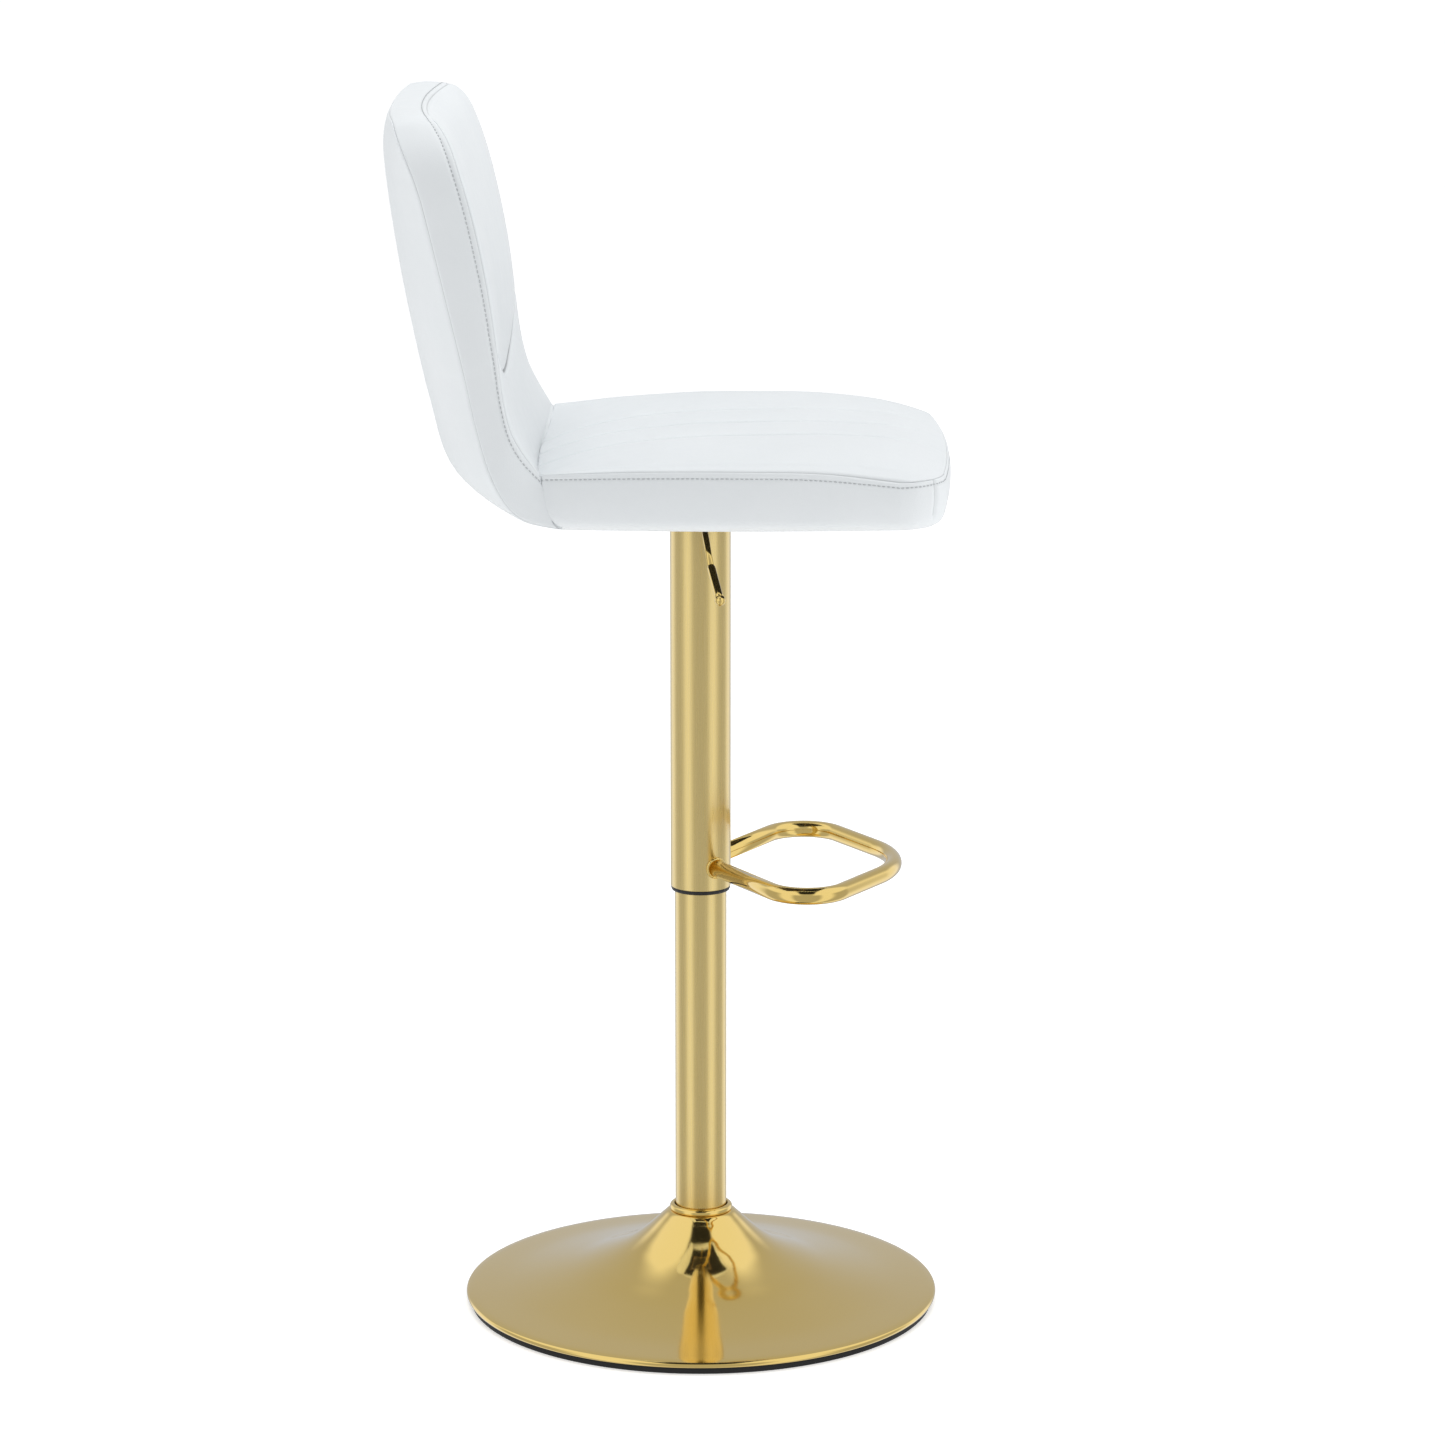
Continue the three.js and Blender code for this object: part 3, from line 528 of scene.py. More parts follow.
def collar_outline():
    """The collar's section, with the outer part of its top sloping down."""
    low, high = node_box("base_collar")
    outer = (high.x - low.x) / 2
    return [
        (outer - COLLAR_WALL, low.z),
        (outer, low.z),
        (outer, high.z - COLLAR_SLOPE_DOWN),
        (outer - COLLAR_SLOPE_IN, high.z),
        (outer - COLLAR_WALL, high.z),
    ]


def metal_tubes():
    """The two tubes of the column, the collar at its foot and the rubber ring under the base."""
    lower = tube_outline("column_tube", COLUMN_WALL)
    turned_piece("lower_column", lower, 0.5, "satin_gold", "base", "column_tube")
    upper = tube_outline("cover_tube", COVER_WALL)
    turned_piece("upper_column", upper, 0.4, "satin_gold", "seat_assembly", "cover_tube")
    turned_piece("column_collar", collar_outline(), 2.2, "polished_gold", "base", "base_collar")
    ring = tube_outline("floor_ring", GASKET_WIDTH)
    turned_piece("floor_gasket", ring, 1.2, "black_rubber", "base", "floor_ring", BASE_ROUND)


# ---------------------------------------------------------------- footrest
FOOTREST_HEIGHT = 431
FOOTREST_RADIUS = 8
FOOTREST_HALF_WIDTH = 162
FOOTREST_FRONT = -200
FOOTREST_CORNER = -98
FOOTREST_SIDE_BEND = 38
FOOTREST_FRONT_BEND = 100
FOOTREST_ARM = unit(np.array([FOOTREST_HALF_WIDTH, FOOTREST_CORNER]))
ROOT_SINK = 0.9  # how far the ends of the bar go into the column
TUBE_RADIUS = 28.3
WELD_OFFSET = 0.5
WELD_RADIUS = 1.7
WELD_RIPPLE = 0.12
WELD_RIPPLES = 24


BEND_STEP = 3  # between the points round a bend


def filleted(corners, radii):
    """A path through corners whose bends have the given radii, as closely spaced points."""
    corners = [np.array(c, float) for c in corners]
    path = [corners[0]]
    for before, corner, after, radius in zip(corners, corners[1:], corners[2:], radii):
        back = unit(before - corner)
        ahead = unit(after - corner)
        half = math.acos(np.clip(back @ ahead, -1, 1)) / 2
        centre = corner + unit(back + ahead) * radius / math.sin(half)
        start = corner + back * radius / math.tan(half) - centre
        end = corner + ahead * radius / math.tan(half) - centre
        sweep = math.pi - 2 * half
        steps = max(6, math.ceil(radius * sweep / BEND_STEP))
        for k in range(steps + 1):
            t = k / steps
            turn = (start * math.sin((1 - t) * sweep) + end * math.sin(t * sweep)) / math.sin(sweep)
            path.append(centre + turn)
    path.append(corners[-1])
    return np.array(path)


def footrest():
    """The bent bar from one side of the column, round the front, to the other side."""
    root = FOOTREST_ARM * (TUBE_RADIUS - ROOT_SINK)
    corners = [
        (root[0], root[1]),
        (FOOTREST_HALF_WIDTH, FOOTREST_CORNER),
        (0, FOOTREST_FRONT),
        (-FOOTREST_HALF_WIDTH, FOOTREST_CORNER),
        (-root[0], root[1]),
    ]
    flat = filleted(corners, (FOOTREST_SIDE_BEND, FOOTREST_FRONT_BEND, FOOTREST_SIDE_BEND))
    path = np.column_stack([flat, np.full(len(flat), FOOTREST_HEIGHT)])
    points, faces = swept(path, FOOTREST_RADIUS, 48)
    piece = new_piece(
        "footrest_bar", points, faces, "polished_gold", "seat_assembly", ["footrest_tube"]
    )
    outward(piece)


def footrest_weld(side, node):
    """The bead where an arm meets the column, laid along the line in which the two surfaces meet."""
    steps = 96
    arm = np.array([side * FOOTREST_ARM[0], FOOTREST_ARM[1], 0])
    across = np.array([-arm[1], arm[0], 0])
    angle = np.arange(steps) * TAU / steps
    sideways = (FOOTREST_RADIUS + WELD_OFFSET) * np.cos(angle)
    rise = (FOOTREST_RADIUS + WELD_OFFSET) * np.sin(angle)
    reach = np.sqrt((TUBE_RADIUS + WELD_OFFSET) ** 2 - sideways**2)
    path = (
        reach[:, None] * arm
        + sideways[:, None] * across
        + np.column_stack([np.zeros((steps, 2)), FOOTREST_HEIGHT + rise])
    )
    bead = WELD_RADIUS + WELD_RIPPLE * np.sin(angle * WELD_RIPPLES)
    points, faces = swept(path, bead, 12, closed=True)
    name = f"weld_{node.split('_')[-1]}"
    piece = new_piece(name, points, faces, "polished_gold", "seat_assembly", [node])
    outward(piece)


# ---------------------------------------------------------------- lever
LEVER_BEND = np.array([-115, -4.4, 771])
LEVER_NECK = np.array([-142, -9, 748])
LEVER_END = np.array([-175, -18, 720.5])
LEVER_ROD = 3
LEVER_RISE = 4.3  # from the bend up to the rod's inner end
LEVER_BEND_RADIUS = 24
LEVER_IN_GRIP = 6
GRIP_LENGTH = np.linalg.norm(LEVER_END - LEVER_NECK)
# Profiles as (distance, radius): the sleeve from the lever's neck, the tip from the grip's end.
SLEEVE = [(5, 2.6), (5.3, 3.2), (8, 3.9), (GRIP_LENGTH - 1, 3.9), (GRIP_LENGTH - 0.6, 3.5)]
TIP = [(-0.7, 3.6), (-0.4, 4.5), (0.6, 4.95), (3.2, 4.9), (5.2, 4.0), (6.4, 2.4), (6.8, 0.8)]


def lathe_on_lever(name, profile, axis, node):
    """A turned piece on the lever's last straight, from (distance, radius) pairs."""
    distance, radius = np.array(profile).T
    fine = np.linspace(0, len(profile) - 1, 6 * len(profile))
    distance = np.interp(fine, range(len(profile)), distance)
    radius = np.interp(fine, range(len(profile)), radius)
    path = LEVER_NECK + distance[:, None] * axis
    piece = new_piece(name, *swept(path, radius, 32), "polished_gold", "lever", [node])
    outward(piece)


def lever():
    """The bent rod, its sleeve and its turned end."""
    start = np.array([node_box("lever_rod")[1].x, 0, LEVER_BEND[2] + LEVER_RISE])
    axis = (LEVER_END - LEVER_NECK) / GRIP_LENGTH
    bend = filleted([start, LEVER_BEND, LEVER_NECK + axis * LEVER_IN_GRIP], (LEVER_BEND_RADIUS,))
    rod = new_piece("lever_bar", *swept(bend, LEVER_ROD, 32), "polished_gold", "lever", ["lever_rod"])
    outward(rod)
    lathe_on_lever("lever_sleeve", SLEEVE, axis, "lever_grip")
    beyond_grip = [(GRIP_LENGTH + distance, radius) for distance, radius in TIP]
    lathe_on_lever("lever_tip", beyond_grip, axis, "lever_end_cap")


# ---------------------------------------------------------------- upholstery
SEAT_HALF = 210
SEAT_REAR = 141
SEAT_FRONT = -229
SEAT_CORNER = 38
SEAT_WIDEST = -40
SEAT_NARROWING = 0.1  # share of its width that the seat loses by its front and rear ends
SEAT_UNDERSIDE = 784.8
SEAM_HEIGHTS = [(0, 838), (0.22, 842), (0.54, 843.6), (0.79, 841), (1, 831.5)]
MIDDLE_HEIGHTS = [
    (0, 821.5), (0.078, 832.5), (0.165, 841), (0.31, 848.5), (0.53, 852.5), (0.75, 852), (0.895, 846.5),
    (0.96, 839), (1, 832),
]
CHANNELS = (-70, 0, 70)
CHANNEL_END = 38  # how far short of the front seam the sewn channels run out
CHANNEL_FADE = 25  # over this length
CHANNEL_DEPTH = 2.5
CHANNEL_WIDTH = 2.4
TOPSTITCH = 6.5  # from the seam to the row of stitches beside it
STITCH_DEPTH = 0.9
STITCH_WIDTH = 1.3
SEAM_DEPTH = 2.2
SEAM_WIDTH = 1.2
CORNER_SEAM = 196  # from the middle to the upright seams at the seat's front corners
JOINT_LAP = 2.5  # how far the foot of the back presses into the rear of the seat
JUNCTION_BOW = 9  # how much further back the seat reaches in the middle than at its sides
JUNCTION_HEIGHT = 815  # below this the junction turns forward
JUNCTION_DEPTH = 27
JUNCTION_TUCK = 14
COVER_STEP = 10  # between rows of points, away from the seams
ON_SEAM = 0.3  # points this near to a seam are sewn down with it
HALF_SEWN = 0.6
JOIN_WITHIN = 0.02
PUFF_FRAMES = 20
EVENING_ROUNDS = 10

BACK_HALF = 202
BACK_CORNER = 65
FOOT_NARROWING = 12.5  # at each side, where the back rises from the seat
FOOT_STATIONS = 2.2  # the narrowing is gone this many stations up
# Side views as (forward-back, height), matched station by station from the seat to the top.
FRONT_SEAM = [
    (141, 838), (158, 861), (168, 881), (174, 910), (178, 945), (186.5, 1005), (197.5, 1060),
    (210, 1108), (217.5, 1136), (224.5, 1151),
]
REAR_SEAM = [
    (128, 786.5), (164, 800), (186, 834), (200.5, 884), (209, 924), (223.5, 986), (238, 1048),
    (251, 1101), (259, 1131), (264.5, 1151),
]
FRONT_MIDDLE = [
    (150, 818), (166, 850), (180, 876), (189.5, 906), (195.5, 942), (204, 1001), (215, 1056),
    (227, 1104), (236, 1134), (248, 1149.5),
]
REAR_MIDDLE = [
    (128, 784.8), (176, 784.8), (228, 820), (246.5, 880), (256.5, 922), (270, 989), (279.5, 1049),
    (285.5, 1099), (286.5, 1128), (282, 1148.5),
]
PILLOW = [0, 4, 9, 11, 11, 11, 10, 9, 6, 0]
TOP_STATION = len(FRONT_SEAM) - 1
CREASE_STATION = 4.05
CREASE_DEPTH = 4.6


def junction(x, z):
    """How far back the seat meets the back, at a width and height."""
    bow = JUNCTION_BOW * (1 - (np.asarray(x, float) / SEAT_HALF) ** 2)
    below = np.clip((JUNCTION_HEIGHT - np.asarray(z, float)) / JUNCTION_DEPTH, 0, 1.1)
    return SEAT_REAR + bow * (1 - below**2) - JUNCTION_TUCK * below**2


class Skin:
    """Patches of one closed cover, with how firmly each point is sewn down and how far it sinks."""

    def __init__(self):
        self.points = []
        self.faces = []
        self.pins = []
        self.sinks = []
        self.count = 0

    def patch(self, points, pin, sink):
        """Adds a grid of points, stored row by row."""
        rows, columns = points.shape[:2]
        self.points.append(points.reshape(-1, 3))
        self.pins.append(np.broadcast_to(pin, (rows, columns)).ravel())
        self.sinks.append(np.broadcast_to(sink, (rows, columns)).ravel())
        self.faces += [tuple(i + self.count for i in f) for f in grid_faces(rows, columns)]
        self.count += rows * columns

    def piece(self, name, replaced):
        """One mesh with its patches joined and every seam sunk into the padding."""
        piece = new_piece(
            name, np.concatenate(self.points), self.faces, "white_leather", "seat_assembly", replaced
        )
        for key, values in (("pin", self.pins), ("sink", self.sinks)):
            layer = piece.data.attributes.new(key, "FLOAT", "POINT")
            layer.data.foreach_set("value", np.concatenate(values).astype(np.float32))
        shape = bmesh.new()
        shape.from_mesh(piece.data)
        bmesh.ops.remove_doubles(shape, verts=shape.verts, dist=JOIN_WITHIN * MM)
        bmesh.ops.recalc_face_normals(shape, faces=shape.faces)
        sink = shape.verts.layers.float["sink"]
        shape.normal_update()
        moves = [v.normal * (v[sink] * MM) for v in shape.verts]
        for vertex, move in zip(shape.verts, moves):
            vertex.co -= move
        shape.to_mesh(piece.data)
        shape.free()
        return piece


def evened(mesh, shift, freedom):
    """Averages each free point's movement with its neighbours', so that close rows don't show."""
    ends = np.array([e.vertices for e in mesh.edges])
    ends = np.concatenate([ends, ends[:, ::-1]])
    number = 1 + np.bincount(ends[:, 0], minlength=len(shift))[:, None]
    freedom = freedom[:, None]
    for _ in range(EVENING_ROUNDS):
        total = shift.copy()
        np.add.at(total, ends[:, 0], shift[ends[:, 1]])
        shift = total / number * freedom + shift * (1 - freedom)
    return shift


def pressed_out(piece, pins, pressure):
    """Where a short cloth simulation under inner pressure takes a cover's points."""
    group = piece.vertex_groups.new(name="sewn")
    for i, pin in enumerate(pins):
        group.add([i], float(pin), "REPLACE")
    cloth = piece.modifiers.new("cloth", "CLOTH")
    settings = cloth.settings
    settings.quality = 6
    settings.mass = 0.35
    settings.tension_stiffness = 22
    settings.compression_stiffness = 22
    settings.shear_stiffness = 10
    settings.bending_stiffness = 1.2
    settings.vertex_group_mass = "sewn"
    settings.use_pressure = True
    settings.uniform_pressure_force = pressure
    settings.shrink_min = -0.006
    settings.effector_weights.gravity = 0
    cloth.point_cache.frame_start = 1
    cloth.point_cache.frame_end = PUFF_FRAMES
    for step in range(1, PUFF_FRAMES + 1):
        bpy.context.scene.frame_set(step)
    graph = bpy.context.evaluated_depsgraph_get()
    moved = np.array([v.co for v in piece.evaluated_get(graph).data.vertices])
    piece.modifiers.remove(cloth)
    piece.vertex_groups.clear()
    bpy.context.scene.frame_set(1)
    return moved


def puffed(piece, cap, pressure):
    """Lets the padding press the cover out between its seams, then keeps the shape it took."""
    mesh = piece.data
    pins = np.zeros(len(mesh.vertices), np.float32)
    mesh.attributes["pin"].data.foreach_get("value", pins)
    pins = np.clip(pins, 0, 1)
    rest = np.array([v.co for v in mesh.vertices])
    shift = pressed_out(piece, pins, pressure) - rest
    far = np.linalg.norm(shift, axis=1, keepdims=True)
    limit = cap * MM
    shift *= limit * np.tanh(far / limit) / np.maximum(far, 1e-9)
    shift = evened(mesh, shift, 1 - pins)
    mesh.vertices.foreach_set("co", (rest + shift).astype(np.float32).ravel())
    mesh.update()
    smoother = piece.modifiers.new("smoother", "SUBSURF")
    smoother.levels = 1
    smoother.render_levels = 1
    graph = bpy.context.evaluated_depsgraph_get()
    fine = bpy.data.meshes.new_from_object(piece.evaluated_get(graph))
    piece.modifiers.remove(smoother)
    piece.data = fine
    fine.shade_smooth()


# ---------------------------------------------------------------- seat
SEAT_LENGTH = SEAT_REAR - SEAT_FRONT
FRONT_BOW = 12  # how much further forward the seat's front is in the middle than at its sides
POCKET_CORNER = 32
POCKET_GAP = 0.4  # between the seat board and the cover's inner face
POCKET_GAP_REAR = 0.6
SEAT_WALL_FOOT = 798
SEAT_WALL = 42
SEAT_WALL_BULGE = 2.2
WALL_ROWS = spread(0, SEAT_WALL, 8, (0, TOPSTITCH))
UPRIGHT_DEPTH = 1.9  # of the upright seams at the front corners
UNDERSIDE_TURN = np.radians((20, 40, 60, 80))  # rows round the edge, from the wall to the underside
UNDERSIDE_REACH = 0.72  # share of the way in to the pocket that this turn takes up
POCKET_LIP = 4
REAR_REACH = 60  # the sides start to follow the junction this far ahead of the rear


def seat_plan(across, along):
    """Outline of the seat's top at a nominal width and a share of the way from rear to front."""
    side = across / SEAT_HALF
    beyond = np.maximum(np.abs(across) - (SEAT_HALF - SEAT_CORNER), 0)
    front = SEAT_FRONT + FRONT_BOW * side**2 + SEAT_CORNER - np.sqrt(SEAT_CORNER**2 - beyond**2)
    rear = junction(across, SEAM_HEIGHTS[0][1])
    y = rear + (front - rear) * along
    from_widest = (y - SEAT_WIDEST) / (SEAT_LENGTH / 2)
    return across * (1 - SEAT_NARROWING * from_widest**2), y


def seat_pocket(across, along):
    """Outline of the hollow that the seat board fills, matched to seat_plan."""
    low, high = node_box("seat_board")
    half = high.x + POCKET_GAP
    x = across / SEAT_HALF * half
    beyond = np.maximum(np.abs(x) - (half - POCKET_CORNER), 0)
    front = low.y - POCKET_GAP + POCKET_CORNER - np.sqrt(POCKET_CORNER**2 - beyond**2)
    rear = high.y + POCKET_GAP_REAR
    return x, rear + (front - rear) * along


def seat_top(across, along):
    """Points of the seat's top, which rises from its seams to a crown along the middle."""
    side = np.abs(across / SEAT_HALF)
    x, y = seat_plan(across, along)
    seam = smooth(SEAM_HEIGHTS, along)
    z = seam + (smooth(MIDDLE_HEIGHTS, along) - seam) * (1 - side**4)
    return np.stack([x, y, z], axis=-1)


def seat_top_sewing(across, from_rear):
    """How firmly the seat's top is sewn down and how far it sinks, at its seams and channels."""
    from_front = SEAT_LENGTH - from_rear
    to_seam = np.minimum(SEAT_HALF - np.abs(across), from_front)
    to_edge = np.minimum(to_seam, from_rear)
    to_channel = np.min([np.abs(across - c) for c in CHANNELS], axis=0)
    run_out = np.clip((from_front - CHANNEL_END) / CHANNEL_FADE, 0, 1)
    seam = SEAM_DEPTH * dip(to_seam, SEAM_WIDTH)
    channel = CHANNEL_DEPTH * run_out * dip(to_channel, CHANNEL_WIDTH)
    in_channel = (to_channel < ON_SEAM) * (run_out > 0.3)
    pin = np.maximum(to_edge < ON_SEAM, in_channel).astype(float)
    return pin, np.maximum(seam, channel)


def boundary(table):
    """Entries of a table [row, column] round its edge, from its first column to its first row."""
    return np.concatenate([table[:-1, 0], table[-1, :-1], table[:0:-1, -1], table[0, ::-1]])


def seat_wall(edge):
    """Rings from the top seam down the wall and in to the hollow, with their pins and sinks.

    A row of edge holds x, y and z on the seam, then the nominal width and the share from the rear.
    """
    count = len(edge)
    outline = edge[:, :2]
    across = edge[:, 3]
    along = edge[:, 4]
    pocket = np.stack(seat_pocket(across, along), axis=1)
    at_rear = np.clip(1 - along * SEAT_LENGTH / REAR_REACH, 0, 1) ** 2
    normal = normals(outline)
    normal *= np.sign(((outline - outline.mean(axis=0)) * normal).sum(axis=1))[:, None]
    rows, pins, sinks = [], [], []

    def ring(z_row, inward, bulge, pin, sink):
        z_row = np.broadcast_to(z_row, count)
        shift = junction(edge[:, 0], z_row) - junction(edge[:, 0], edge[:, 2])
        row = np.stack([edge[:, 0], edge[:, 1] + at_rear * shift], axis=1)
        row += (pocket - row) * inward
        row += normal * (bulge * (1 - at_rear))[:, None]
        rows.append(np.column_stack([row, z_row]))
        pins.append(np.broadcast_to(pin, count))
        sinks.append(np.broadcast_to(sink, count))

    upright = UPRIGHT_DEPTH * (along > 0.99) * dip(np.abs(across) - CORNER_SEAM, SEAM_WIDTH)
    for depth in WALL_ROWS:
        share = depth / SEAT_WALL
        z_row = edge[:, 2] + (SEAT_WALL_FOOT - edge[:, 2]) * share
        bulge = SEAT_WALL_BULGE * math.sin(math.pi * share)
        stitched = STITCH_DEPTH * dip(depth - TOPSTITCH, STITCH_WIDTH)
        level = SEAM_DEPTH * dip(depth, SEAM_WIDTH) + stitched
        sewn = float(min(depth, abs(depth - TOPSTITCH)) < ON_SEAM)
        pin = np.maximum(sewn, upright > UPRIGHT_DEPTH - 0.1)
        ring(z_row, 0, bulge, pin, np.maximum(level, upright))
    for angle in UNDERSIDE_TURN:
        z_row = SEAT_WALL_FOOT - (SEAT_WALL_FOOT - SEAT_UNDERSIDE) * math.sin(angle)
        ring(z_row, UNDERSIDE_REACH * (1 - math.cos(angle)), 0, HALF_SEWN, 0)
    pocket_top = node_box("seat_board")[1].z + POCKET_GAP
    for z_row in (SEAT_UNDERSIDE, SEAT_UNDERSIDE + POCKET_LIP, pocket_top):
        ring(z_row, 1, 0, 1, 0)
    return np.stack(rows), np.stack(pins), np.stack(sinks)


def seat_cushion():
    """The seat's cover as one skin, and the line of stitches below its top seam."""
    seams = (-SEAT_HALF, -CORNER_SEAM, *CHANNELS, CORNER_SEAM, SEAT_HALF)
    steps_across = spread(-SEAT_HALF, SEAT_HALF, COVER_STEP, seams)
    steps_along = spread(0, SEAT_LENGTH, COVER_STEP, (0, SEAT_LENGTH))
    across, from_rear = np.meshgrid(steps_across, steps_along)
    along = from_rear / SEAT_LENGTH
    top = seat_top(across, along)
    wall, pins, sinks = seat_wall(boundary(np.dstack([top, across, along])))
    pocket_x, pocket_y = seat_pocket(across, along)
    pocket_z = np.full_like(pocket_x, wall[-1, 0, 2])

    skin = Skin()
    skin.patch(top, *seat_top_sewing(across, from_rear))
    skin.patch(wall, pins, sinks)
    skin.patch(np.stack([pocket_x, pocket_y, pocket_z], axis=-1), 1.0, 0.0)
    piece = skin.piece("seat_cover", ["seat_cushion"])
    puffed(piece, 3.5, 2.2)
    stitch_row = list(WALL_ROWS).index(TOPSTITCH)
    rear_corner = 2 * (len(steps_along) - 1) + len(steps_across)
    return piece, wall[stitch_row, :rear_corner]


# ---------------------------------------------------------------- back
GUSSET = 43
GUSSET_COLUMNS = spread(0, GUSSET, 9, (0, TOPSTITCH, GUSSET)) / GUSSET
GUSSET_BULGE = 2.4
GUSSET_RAMP = 0.6  # stations over which the bulge grows from the foot of the back
CROSS_SEAM_HEIGHT = 1149.5
CROSS_DEPTH = 1.3
CROSS_WIDTH = 1.6
END_DEPTH = 1.5  # how far the gusset sinks where it meets the seat
CREASE_SAG = 1.15  # stations by which the crease's middle hangs below its ends
SAG_REACH = 1.6
CREASE_WIDTH = 1.7
CREASE_FADE = 6  # the crease runs out this close to the side seams


def joint(x, z):
    """How far back the foot of the back lies, just inside the rear of the seat."""
    return junction(x, z) - JOINT_LAP


def back_sheet(side, level, seam_line, middle_line, power):
    """x, y and z over one face of the back, which swells from its seams to its middle line."""
    seam = spline(seam_line, level)
    middle = spline(middle_line, level)
    from_top = FRONT_SEAM[-1][1] - spline(FRONT_SEAM, level)[..., 1]
    rise = np.clip(BACK_CORNER - from_top, 0, BACK_CORNER)
    narrow = BACK_CORNER - np.sqrt(BACK_CORNER**2 - rise**2)
    half = BACK_HALF - narrow - FOOT_NARROWING * np.clip(1 - level / FOOT_STATIONS, 0, 1) ** 2
    x = side * half
    blend = 1 - (np.abs(x) / BACK_HALF) ** power
    yz = seam + (middle - seam) * blend[..., None]
    return x, yz[..., 0], yz[..., 1]


def back_front(side, level):
    """Points of the front face, pillowed between its seams, with rows that follow the crease."""
    sag = CREASE_SAG * (1 - np.abs(side) ** 1.8)
    lowered = level - sag * dip(level - CREASE_STATION, SAG_REACH)
    x, y, z = back_sheet(side, lowered, FRONT_SEAM, FRONT_MIDDLE, 2)
    tangent = unit(spline(FRONT_SEAM, lowered + 0.05) - spline(FRONT_SEAM, lowered - 0.05))
    pillow = spline(np.array(PILLOW, float)[:, None], lowered)[..., 0] * (1 - np.abs(side) ** 3)
    y = y - tangent[..., 1] * pillow
    z = z + tangent[..., 0] * pillow
    y[0] = joint(x[0], z[0])
    return np.stack([x, y, z], axis=-1)


def back_rear(side, level):
    """Points of the rear face."""
    x, y, z = back_sheet(side, level, REAR_SEAM, REAR_MIDDLE, 2.4)
    y[0] = joint(x[0], z[0])
    return np.stack([x, y, z], axis=-1)


def round_top(table):
    """Entries of a table [row, column] up its first column, over its last row and down again."""
    return np.concatenate([table[:, 0], table[-1, 1:], table[-2::-1, -1]])


def back_gusset(front, rear, level, cross_row):
    """Columns of the band between the two faces, with their pins and sinks."""
    front_edge = round_top(front)
    rear_edge = round_top(rear)
    normal = normals(front_edge[:, [0, 2]])
    ramp = np.clip(round_top(level) / GUSSET_RAMP, 0, 1)
    gone = distances(front_edge)
    cross_seams = (gone[cross_row], gone[len(front_edge) - 1 - cross_row])
    cross = CROSS_DEPTH * np.max([dip(gone - c, CROSS_WIDTH) for c in cross_seams], axis=0)
    end = np.zeros(len(front_edge))
    end[[0, -1]] = END_DEPTH
    columns, pins, sinks = [], [], []
    for share in GUSSET_COLUMNS:
        column = front_edge + (rear_edge - front_edge) * share
        for foot in (0, -1):
            column[foot, 1] = joint(column[foot, 0], column[foot, 2])
        bulge = GUSSET_BULGE * math.sin(math.pi * share) * ramp
        column[:, [0, 2]] += normal * bulge[:, None]
        columns.append(column)
        from_front = share * GUSSET
        from_rear = (1 - share) * GUSSET
        seam = SEAM_DEPTH * (dip(from_front, SEAM_WIDTH) + dip(from_rear, SEAM_WIDTH))
        stitched = STITCH_DEPTH * dip(from_front - TOPSTITCH, STITCH_WIDTH)
        sinks.append(np.maximum(np.maximum(seam + stitched, cross), end))
        sewn = float(min(from_front, from_rear, abs(from_front - TOPSTITCH)) < ON_SEAM)
        pins.append(np.where(end > 0, 1.0, sewn))
    return np.stack(columns), np.stack(pins), np.stack(sinks)


def back_foot(front, rear):
    """Rows that close the foot of the back, inside the rear of the seat."""
    rows = []
    for share in GUSSET_COLUMNS:
        row = front[0] + (rear[0] - front[0]) * share
        row[:, 1] = joint(row[:, 0], row[:, 2])
        rows.append(row)
    return np.stack(rows)


def backrest():
    """The back's cover as one skin, and the line of stitches behind its front seam."""
    fine = np.linspace(0, TOP_STATION, 400)
    line = spline(FRONT_SEAM, fine)
    lengths = distances(line)
    crease_at = float(np.interp(CREASE_STATION, fine, lengths))
    cross_at = float(np.interp(CROSS_SEAM_HEIGHT, line[:, 1], lengths))
    steps_up = spread(0, lengths[-1], 9, (0, crease_at, cross_at, lengths[-1]))
    steps_across = spread(-BACK_HALF, BACK_HALF, COVER_STEP, (-BACK_HALF, BACK_HALF))
    across, up = np.meshgrid(steps_across, steps_up)
    side = across / BACK_HALF
    level = np.interp(up, lengths, fine)
    front = back_front(side, level)
    rear = back_rear(side, level)
    cross_row = int(np.argmin(np.abs(steps_up - cross_at)))
    gusset, gusset_pins, gusset_sinks = back_gusset(front, rear, level, cross_row)

    to_side = BACK_HALF - np.abs(across)
    to_seam = np.minimum(to_side, lengths[-1] - up)
    seam_sink = SEAM_DEPTH * dip(to_seam, SEAM_WIDTH)
    edge_pin = (np.minimum(to_seam, up) < ON_SEAM).astype(float)
    crease = CREASE_DEPTH * dip(up - crease_at, CREASE_WIDTH) * np.clip(to_side / CREASE_FADE, 0, 1)
    crease_pin = np.abs(up - crease_at) < ON_SEAM

    skin = Skin()
    skin.patch(front, np.maximum(edge_pin, crease_pin), np.maximum(seam_sink, crease))
    skin.patch(rear, edge_pin, seam_sink)
    skin.patch(gusset, gusset_pins, gusset_sinks)
    skin.patch(back_foot(front, rear), 1.0, seam_sink[0])
    piece = skin.piece("backrest_cover", ["backrest_front_pad", "backrest_rear_pad"])
    puffed(piece, 2.4, 1.4)
    stitch_column = int(np.argmin(np.abs(GUSSET_COLUMNS * GUSSET - TOPSTITCH)))
    return piece, gusset[stitch_column]


